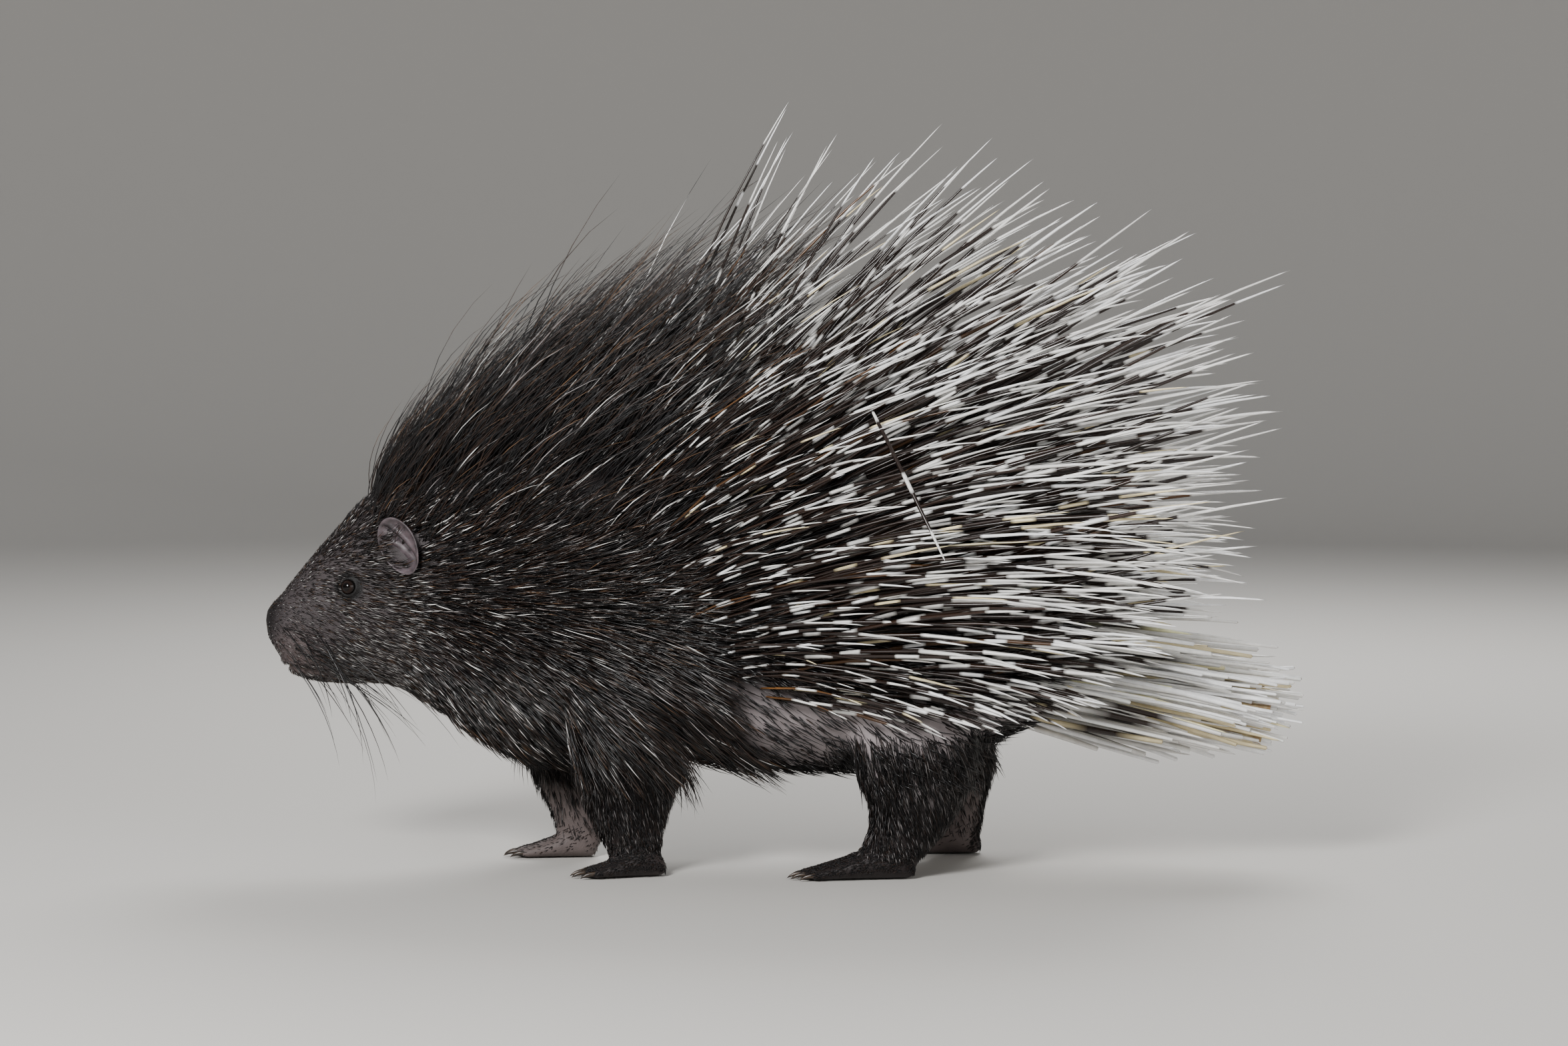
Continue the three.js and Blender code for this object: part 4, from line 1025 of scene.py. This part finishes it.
def makeShortHair(hide, name, keep):
    kind = shortHair[name]
    count = kind["count"]
    roots, normals = sampleSkin(hide, count, keep)
    length = np.interp(roots[:, 2], *kind["byHeight"]) * spread(count, *kind["length"])
    flow = np.array(kind["lie"]) + rng.normal(0, kind["stray"], (count, 3))
    rise, settle = spread(count, *kind["rise"]), spread(count, *kind["settle"])
    lines = lyingLines(roots, normals, flow, length, rise, settle, 3, sink=kind["sink"])
    lines[:, :, 2] = np.maximum(lines[:, :, 2], kind["lowest"])
    widths = varied(count, kind["widths"], *kind["vary"])
    tints = fadeTints(blackBrown(count, kind["brown"]), shades(count, *kind["tips"]), 3)
    return strandMesh(name, lines, widths, normals, patchAt(roots), tints)


def makeLegFur(hide):
    def keep(p, n):  # sparse low on the inside of each leg
        sparse = np.where((np.abs(p[:, 1]) < 68) & (p[:, 2] < 85), 0.25, 1)
        offBelly = np.where(p[:, 2] > 98, np.interp(p[:, 0], [-110, -80, 16, 66], [1, 0, 0, 1]) ** 2, 1)
        top = np.interp(p[:, 2], [128, 152], [1, 0])
        return (p[:, 2] > 24) * (np.abs(p[:, 1]) > 30) * (p[:, 0] > -290) * offBelly * top * sparse
    # its grey tips are painted glints
    return makeShortHair(hide, "legFur", keep)


def makeFootFur(hide):
    def keep(p, n):  # on top of each foot, and sparse on its inside
        sparse = np.where(np.abs(p[:, 1]) < 66, 0.12, 1)
        return (p[:, 2] < 34) * (p[:, 2] > 4.5) * (n[:, 2] > -0.35) * sparse
    return makeShortHair(hide, "footFur", keep)


def makeBellyBristles(hide):  # sparse, over grey skin
    keep = lambda p, n: (p[:, 0] > -70) * (p[:, 0] < 262) * (np.abs(turnOf(p)) > 104) * (p[:, 2] > 99)
    return makeShortHair(hide, "bellyBristles", keep)



whiskers = {"count": 30, "width": 1.1, "length": (70, 225)}     # on each side, mm


def makeWhiskers():
    count = whiskers["count"] * 2
    side = np.where(np.arange(count) % 2 == 0, -1.0, 1.0)
    x = spread(count, -514, -456)
    z = 208 + 9 * rng.integers(0, 5, count) + spread(count, -2, 2)
    turn = side * turnAt(x, z)
    roots, sink = bodyPoint(x, turn), -bodyNormal(x, turn) * 2
    length = spread(count, *whiskers["length"]) * np.interp(x, [-512, -470], [0.6, 1])
    stations = np.tile(np.linspace(1 / 7, 1, 7), (count, 1))
    lift = -8 - spread(count, 0, 62)
    bend, flare = spread(count, 12, 40), spread(count, 16, 52)
    lines = bentLines(roots, side, length, lift, bend, flare, stations, sink)
    profile = np.array([0.7, 0.95, 1, 0.9, 0.75, 0.55, 0.35])
    widths = profile[None, :] * (whiskers["width"] * spread(count, 0.6, 1.15))[:, None]
    tints = np.tile(tone["black"], (count, 8, 1))
    return strandMesh("whiskers", lines, widths, sideways, patchAt(roots), tints, 4)


# tail

tail = {
    # x, lift above and below, length at the same two, mm
    "rows": np.array([[225, -4, -15, 232, 170], [262, -5, -15, 226, 170], [300, -5, -14, 208, 165],
                      [350, -6, -12, 168, 150]], float),
    "count": 520, "girth": 6.2, "rattles": 14, "stalk": 108, "cup": 42, "cupRadius": 4.0,
}


def makeTailQuills():  # mostly white, many with blunt, broken ends
    count, rows = tail["count"], tail["rows"]
    x = 228 + 122 * rng.random(count) ** 0.8
    turn = spread(count, -180, 180)
    steep = np.abs(turn)
    share = steep / 180
    length = between(rows, x, share, 3, 4) * spread(count, 0.45, 1.08)
    lift = between(rows, x, share, 1, 2) + rng.normal(0, 2.2, count)
    flare = 11 * np.sin(np.radians(steep)) + rng.normal(0, 3, count)
    blunt = rng.random(count) < 0.7
    stations = np.tile([0.1, 0.25, 0.45, 0.65, 0.85, 0.96, 1.0], (count, 1))
    stations[blunt, -2] = 0.992
    roots, sink = bodyPoint(x, turn), -bodyNormal(x, turn) * 4
    bend = rng.normal(5, 7, count)
    lines = bentLines(roots, sideOf(turn), length, lift, bend, flare, stations, sink)
    profile = np.where(blunt[:, None], [0.6, 0.8, 1, 1, 0.95, 0.85, 0.78], [0.6, 0.8, 1, 1, 0.85, 0.6, 0.3])
    widths = profile * (tail["girth"] * spread(count, 0.5, 1.1))[:, None]
    light = np.minimum(shades(count, ["white", "ivory"], [0.86, 0.14]) * 1.15, 0.92)
    tints = np.tile(light[:, None, :], (1, 8, 1))
    tints[:, 0] = tone["tan"]
    tints[blunt & (rng.random(count) < 0.4), 7] = tone["tan"]
    dark = rng.random(count) < np.interp(x, [228, 290], [0.3, 0.02])
    tints[dark, 3:5] = tone["brown"] * 0.6
    twist = spread(count, 0, 1.5)
    return strandMesh("tailQuills", lines, widths, sideways, patchAt(roots), tints, 4, twist)


def makeRattles():  # open hollow quills on thin stalks
    parts = []
    count, wide, sides = tail["rattles"], tail["cupRadius"], 14
    angle = np.arange(sides) * 2 * math.pi / sides
    for i in range(count):
        turn = 360 * (i + 0.5) / count - 180
        side = -1.0 if turn < 0 else 1.0
        start = (bodyPoint(336, turn) + np.array([330, 0, 176])) / 2
        lift = 9 * math.cos(math.radians(turn)) - 9 + float(spread(1, -2, 2)[0])
        ahead = heading(lift, 13 * abs(math.sin(math.radians(turn))), side)
        stretch = float(spread(1, 0.75, 1.05)[0])
        stalk, end = tail["stalk"] * stretch, (tail["stalk"] + tail["cup"]) * stretch
        middle = (stalk + end) / 2
        profile = [(0, 0.9), (stalk, 0.8), (stalk + 4, 1.9), (stalk + 9, wide), (middle, wide * 1.05),
                   (end, wide * 0.95), (end, wide * 0.78), (middle, wide * 0.86), (stalk + 12, wide * 0.7)]
        lower = unit(np.cross([0, 1, 0], ahead))
        across = np.cross(ahead, lower)
        ring = across * np.cos(angle)[:, None] + lower * np.sin(angle)[:, None]
        rings = [start + ahead * distance + ring * radius for distance, radius in profile]
        parts.append(loftObject(f"rattle{i}", rings, start, start + ahead * (stalk + 11)))
    cups = joined(parts, "rattleQuills")
    bpy.ops.object.shade_smooth_by_angle(angle=math.radians(50))
    return cups


def rattleMaterial():
    # Thin horn, dry and a little see-through, stained brown
    material, tree = newMaterial("thinHorn")
    tint = ramp(tree, noiseAt(tree, objectPlace(tree), 16, 3.0), [(0.35, "#cdb78c"), (0.6, "#8a6a45")])
    return setSurface(material, {"Roughness": 0.4, "Subsurface Weight": 0.2}, tint)


# eyes, ears and claws

def makeEye(name, side):
    centre, out = eyeCentre(side)
    deselectAll()
    bpy.ops.mesh.primitive_uv_sphere_add(segments=40, ring_count=28, radius=face["eyeRadius"] * 0.985 * mm,
                                         location=(0, 0, 0))
    ball = bpy.context.object
    ball.name = name
    places = coords(ball)
    z = places[:, 2] / (face["eyeRadius"] * mm)
    bulge = 1 + 0.05 * np.clip((z - 0.75) / 0.25, 0, 1)  # the cornea stands a little proud
    places *= bulge[:, None]
    turn = Vector((0, 0, 1)).rotation_difference(Vector(out)).to_matrix()
    places = places @ np.array(turn).T + centre * mm
    setCoords(ball, places)
    bpy.ops.object.shade_smooth()
    return ball


def eyeMaterial(side):
    # Wet eye: almost black, with a dark brown iris under a clear, glossy coat
    material, tree = newMaterial("wetEye" + ("Left" if side < 0 else "Right"))
    centre, out = eyeCentre(side)
    front = tuple((centre + out * face["eyeRadius"]) * mm)
    share = rescaled(tree, distanceTo(tree, objectPlace(tree), front), 0.0, 0.012)
    tint = ramp(tree, share, [(0.0, "#060404"), (0.3, "#060404"), (0.42, "#1d100a"), (0.6, "#120a07"),
                              (0.7, "#050404")])
    return setSurface(material, {"Roughness": 0.1, "Specular IOR Level": 0.12, "Coat Weight": 0.3,
                                 "Coat Roughness": 0.02}, tint)


ear = {
    "rings": 22, "around": 56, "thickness": 1.7, "color": "#564b4f", "edge": "#302a2c", "bowl": 0.85,
    # height, place and width of the rim, of the crease with the fold behind it and of the ridge
    "rim": (0.8, 0.95, 0.06), "crease": (-3.4, 0, 2.0), "fold": (2.2, 5, 2.4), "ridge": (1.8, -6, 2.6),
}


def makeEar(name, side):
    half, tall, deep = face["earSize"]
    share = np.linspace(0, 1, ear["rings"])[1:]
    angle = np.arange(ear["around"]) * 2 * math.pi / ear["around"]
    r, a = np.meshgrid(share, angle, indexing="ij")
    x, y = half * r * np.cos(a), tall * r * np.sin(a)
    x = x * np.where(y < 0, 1 + 0.12 * (y / tall), 1)          # narrower at the lobe
    bowl = -deep * ear["bowl"] * (1 - r ** 2.0)
    rim = swell(r, ear["rim"])
    across = x - 3 + 0.3 * y                                   # over a crease that runs down and back
    inside = np.clip((1 - r) / 0.25, 0, 1)
    crease = (swell(across, ear["crease"]) + swell(across, ear["fold"])) * inside
    ridge = swell(across, ear["ridge"]) * swell(y, (1, 6, 13)) * inside
    canal = -4.5 * np.exp(-(((x + 6) / 4.5) ** 2 + ((y + 13) / 6) ** 2))
    ripple = 0.35 * np.sin(y * 0.5 + x * 0.35) * inside
    z = bowl + rim + crease + ridge + canal + ripple
    sheet = np.concatenate([[[0, 0, -deep * ear["bowl"]]], np.stack([x, y, z], -1).reshape(-1, 3)])
    count = ear["around"]
    k = 1 + np.arange(len(share) - 1)[:, None] * count
    s = np.arange(count)
    n = (s + 1) % count
    quads = np.stack([k + s, k + count + s, k + count + n, k + n], -1).reshape(-1, 4)
    tris = np.stack([np.zeros(count, int), 1 + s, 1 + n], -1)
    standing = np.stack([sheet[:, 0], side * sheet[:, 2], sheet[:, 1]], -1)  # the cup opens outwards
    lean, flare = math.radians(face["earLean"]), math.radians(side * face["earFlare"])
    turned = Matrix.Rotation(flare, 3, "Z") @ Matrix.Rotation(lean, 3, "Y")
    spot = side * turnAt(*face["ear"])
    place = bodyPoint(face["ear"][0], spot) + bodyNormal(face["ear"][0], spot) * face["earStand"]
    places = (standing @ np.array(turned).T + place) * mm
    obj = meshFromArrays(name, places, quads, tris)
    wall = obj.modifiers.new("wall", "SOLIDIFY")
    wall.thickness = ear["thickness"] * mm
    wall.offset = 0
    finer = obj.modifiers.new("finer", "SUBSURF")
    finer.levels = finer.render_levels = 1
    applyAll(obj)
    faceOutwards(obj)
    bpy.ops.object.shade_smooth()
    return obj


def earMaterial():
    # Bare ear skin: thin, faintly pink, creased and lightly greasy
    material, tree = newMaterial("bareEar")
    place = objectPlace(tree)
    tint = ramp(tree, noiseAt(tree, place, 8, 5.0), [(0.3, ear["edge"]), (0.62, ear["color"])])
    bump = bumpFrom(tree, noiseAt(tree, place, 1.6, 3.0), 0.45)
    return setSurface(material, {"Roughness": 0.5, "Subsurface Weight": 0.06, "Subsurface Scale": 0.002},
                      tint, bump)


def makeClaws():
    parts = []
    for name, foot in feet.items():
        matrix = footMatrix(foot)
        for i, (reach, y) in enumerate(toeLines(foot)):
            rings = digitRings(matrix, reach, y, paws["claw"], 12, 0.8, 0.3)
            ends = placed(matrix, [(-reach + 6, y, 5.4), (-reach - 13.5, y, 1.3)])
            parts.append(loftObject(f"claw_{name}_{i}", rings, *ends))
    claws = joined(parts, "claws")
    bpy.ops.object.shade_smooth()
    return claws


def clawMaterial():
    # Claw horn: hard and dark, with fine, paler lines along it
    material, tree = newMaterial("clawHorn")
    stretch = addNode(tree, "ShaderNodeMapping", {"Scale": (60, 900, 900)}, Vector=objectPlace(tree))
    settings = {"Scale": 1.0, "Detail": 3.0}
    lines = addNode(tree, "ShaderNodeTexNoise", settings, Vector=stretch.outputs[0]).outputs["Fac"]
    tint = ramp(tree, lines, [(0.35, "#17120f"), (0.7, "#4a3c30")])
    return setSurface(material, {"Roughness": 0.35}, tint)


# floor, light and camera

studio = {
    "distance": 4.0, "elevation": 4.0, "look": (-0.003, 0, 0.347), "lens": 91.4,
    # power in watts, place and size in metres
    "lamps": {"key": (150, (-1.2, -2.7, 1.9), 0.8), "fill": (30, (2.3, -2.4, 1.2), 2.0),
              "rim": (95, (0.6, 2.2, 2.4), 1.8)},
    "aim": (0, 0, 0.3), "sky": 0.42, "skyColor": (0.86, 0.88, 0.92, 1), "floor": "#bdbab5",
    "sweepStart": 4.6, "sweepRadius": 1.6, "paper": 16.6, "paperCells": 120,
}


def makeFloor():  # paper that sweeps up all round the animal
    deselectAll()
    cells = studio["paperCells"]
    bpy.ops.mesh.primitive_grid_add(x_subdivisions=cells, y_subdivisions=cells, size=studio["paper"],
                                    location=(0, 0, 0))
    floor = bpy.context.object
    floor.name = "studioFloor"
    places = coords(floor)
    start, radius = studio["sweepStart"], studio["sweepRadius"]
    away = np.linalg.norm(places[:, :2], axis=1)
    past = np.maximum(away - start, 0)
    angle = np.minimum(past / radius, math.pi / 2)
    upright = np.maximum(past - radius * math.pi / 2, 0)
    drawn = (np.minimum(away, start) + radius * np.sin(angle)) / np.maximum(away, 0.01)
    height = radius * (1 - np.cos(angle)) + upright
    places = np.stack([places[:, 0] * drawn, places[:, 1] * drawn, height], -1)
    setCoords(floor, places)
    bpy.ops.object.shade_smooth()
    material = newMaterial("paperFloor")[0]
    setSurface(material, {"Base Color": (*srgb(studio["floor"]), 1), "Roughness": 0.9})
    floor.data.materials.append(material)


def makeLights():
    world = bpy.data.worlds.new("studioSky")
    bpy.context.scene.world = world
    world.use_nodes = True
    sky = world.node_tree.nodes["Background"].inputs
    sky[0].default_value = studio["skyColor"]
    sky[1].default_value = studio["sky"]
    for name, (watts, place, size) in studio["lamps"].items():
        light = bpy.data.lights.new(name, "AREA")
        light.energy, light.size = watts, size
        lamp = bpy.data.objects.new(name, light)
        bpy.context.scene.collection.objects.link(lamp)
        lamp.location = place
        lamp.rotation_euler = (Vector(studio["aim"]) - Vector(place)).to_track_quat("-Z", "Y").to_euler()


def makeCamera():
    tilt, look = math.radians(studio["elevation"]), Vector(studio["look"])
    camera = bpy.data.cameras.new("camera")
    camera.lens, camera.sensor_width = studio["lens"], 36
    camera.clip_end = 100
    holder = bpy.data.objects.new("camera", camera)
    bpy.context.scene.collection.objects.link(holder)
    holder.location = look + studio["distance"] * Vector((0, -math.cos(tilt), math.sin(tilt)))
    holder.rotation_euler = (look - holder.location).to_track_quat("-Z", "Y").to_euler()
    bpy.context.scene.camera = holder


# the whole animal

makeFloor()
makeLights()
makeCamera()
print("studio ready")

hide = makeSkin()
hide.data.materials.clear()
hide.data.materials.append(skinMaterial())
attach(hide, "root")
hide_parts("head", "neck", "torso", "tail", *legs, *feet)
print("skin ready", len(hide.data.polygons), "faces")

hair = coatMaterial("bristleKeratin", 0.34, 0.6)
softHair = coatMaterial("shortHair", 0.5, 0.4)
horn = coatMaterial("quillHorn", quills["roughness"], 0.5)
for pieces, material, slot in (
        (makeQuills() + [makeFan(), makeStray()], horn, "quill"),
        ([makeUnderfur(hide), makeCrest(), *makeNeckBristles(hide), makeBellyBristles(hide), makeWhiskers()],
         hair, "fur"),
        ([makeFaceFur(hide), makeLegFur(hide), makeFootFur(hide)], softHair, "fur"),
        ([makeTailQuills()], horn, "tail_quill")):
    for piece in pieces:
        piece.data.materials.append(material)
        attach(piece, "root")
        print(piece.name, sum(len(p.vertices) - 2 for p in piece.data.polygons), "triangles")

cups = makeRattles()
cups.data.materials.clear()
cups.data.materials.append(rattleMaterial())
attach(cups, "root")

claws = makeClaws()
claws.data.materials.clear()
claws.data.materials.append(clawMaterial())
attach(claws, "root")

bare = earMaterial()
for word, side in (("left", -1), ("right", 1)):
    ball = makeEye("eyeball_" + word, side)
    ball.data.materials.append(eyeMaterial(side))
    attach(ball, "root")
    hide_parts("eye_" + word)
    cup = makeEar("earCup_" + word, side)
    cup.data.materials.append(bare)
    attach(cup, "root")
    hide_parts("ear_" + word)
print("eyes, ears and claws ready")
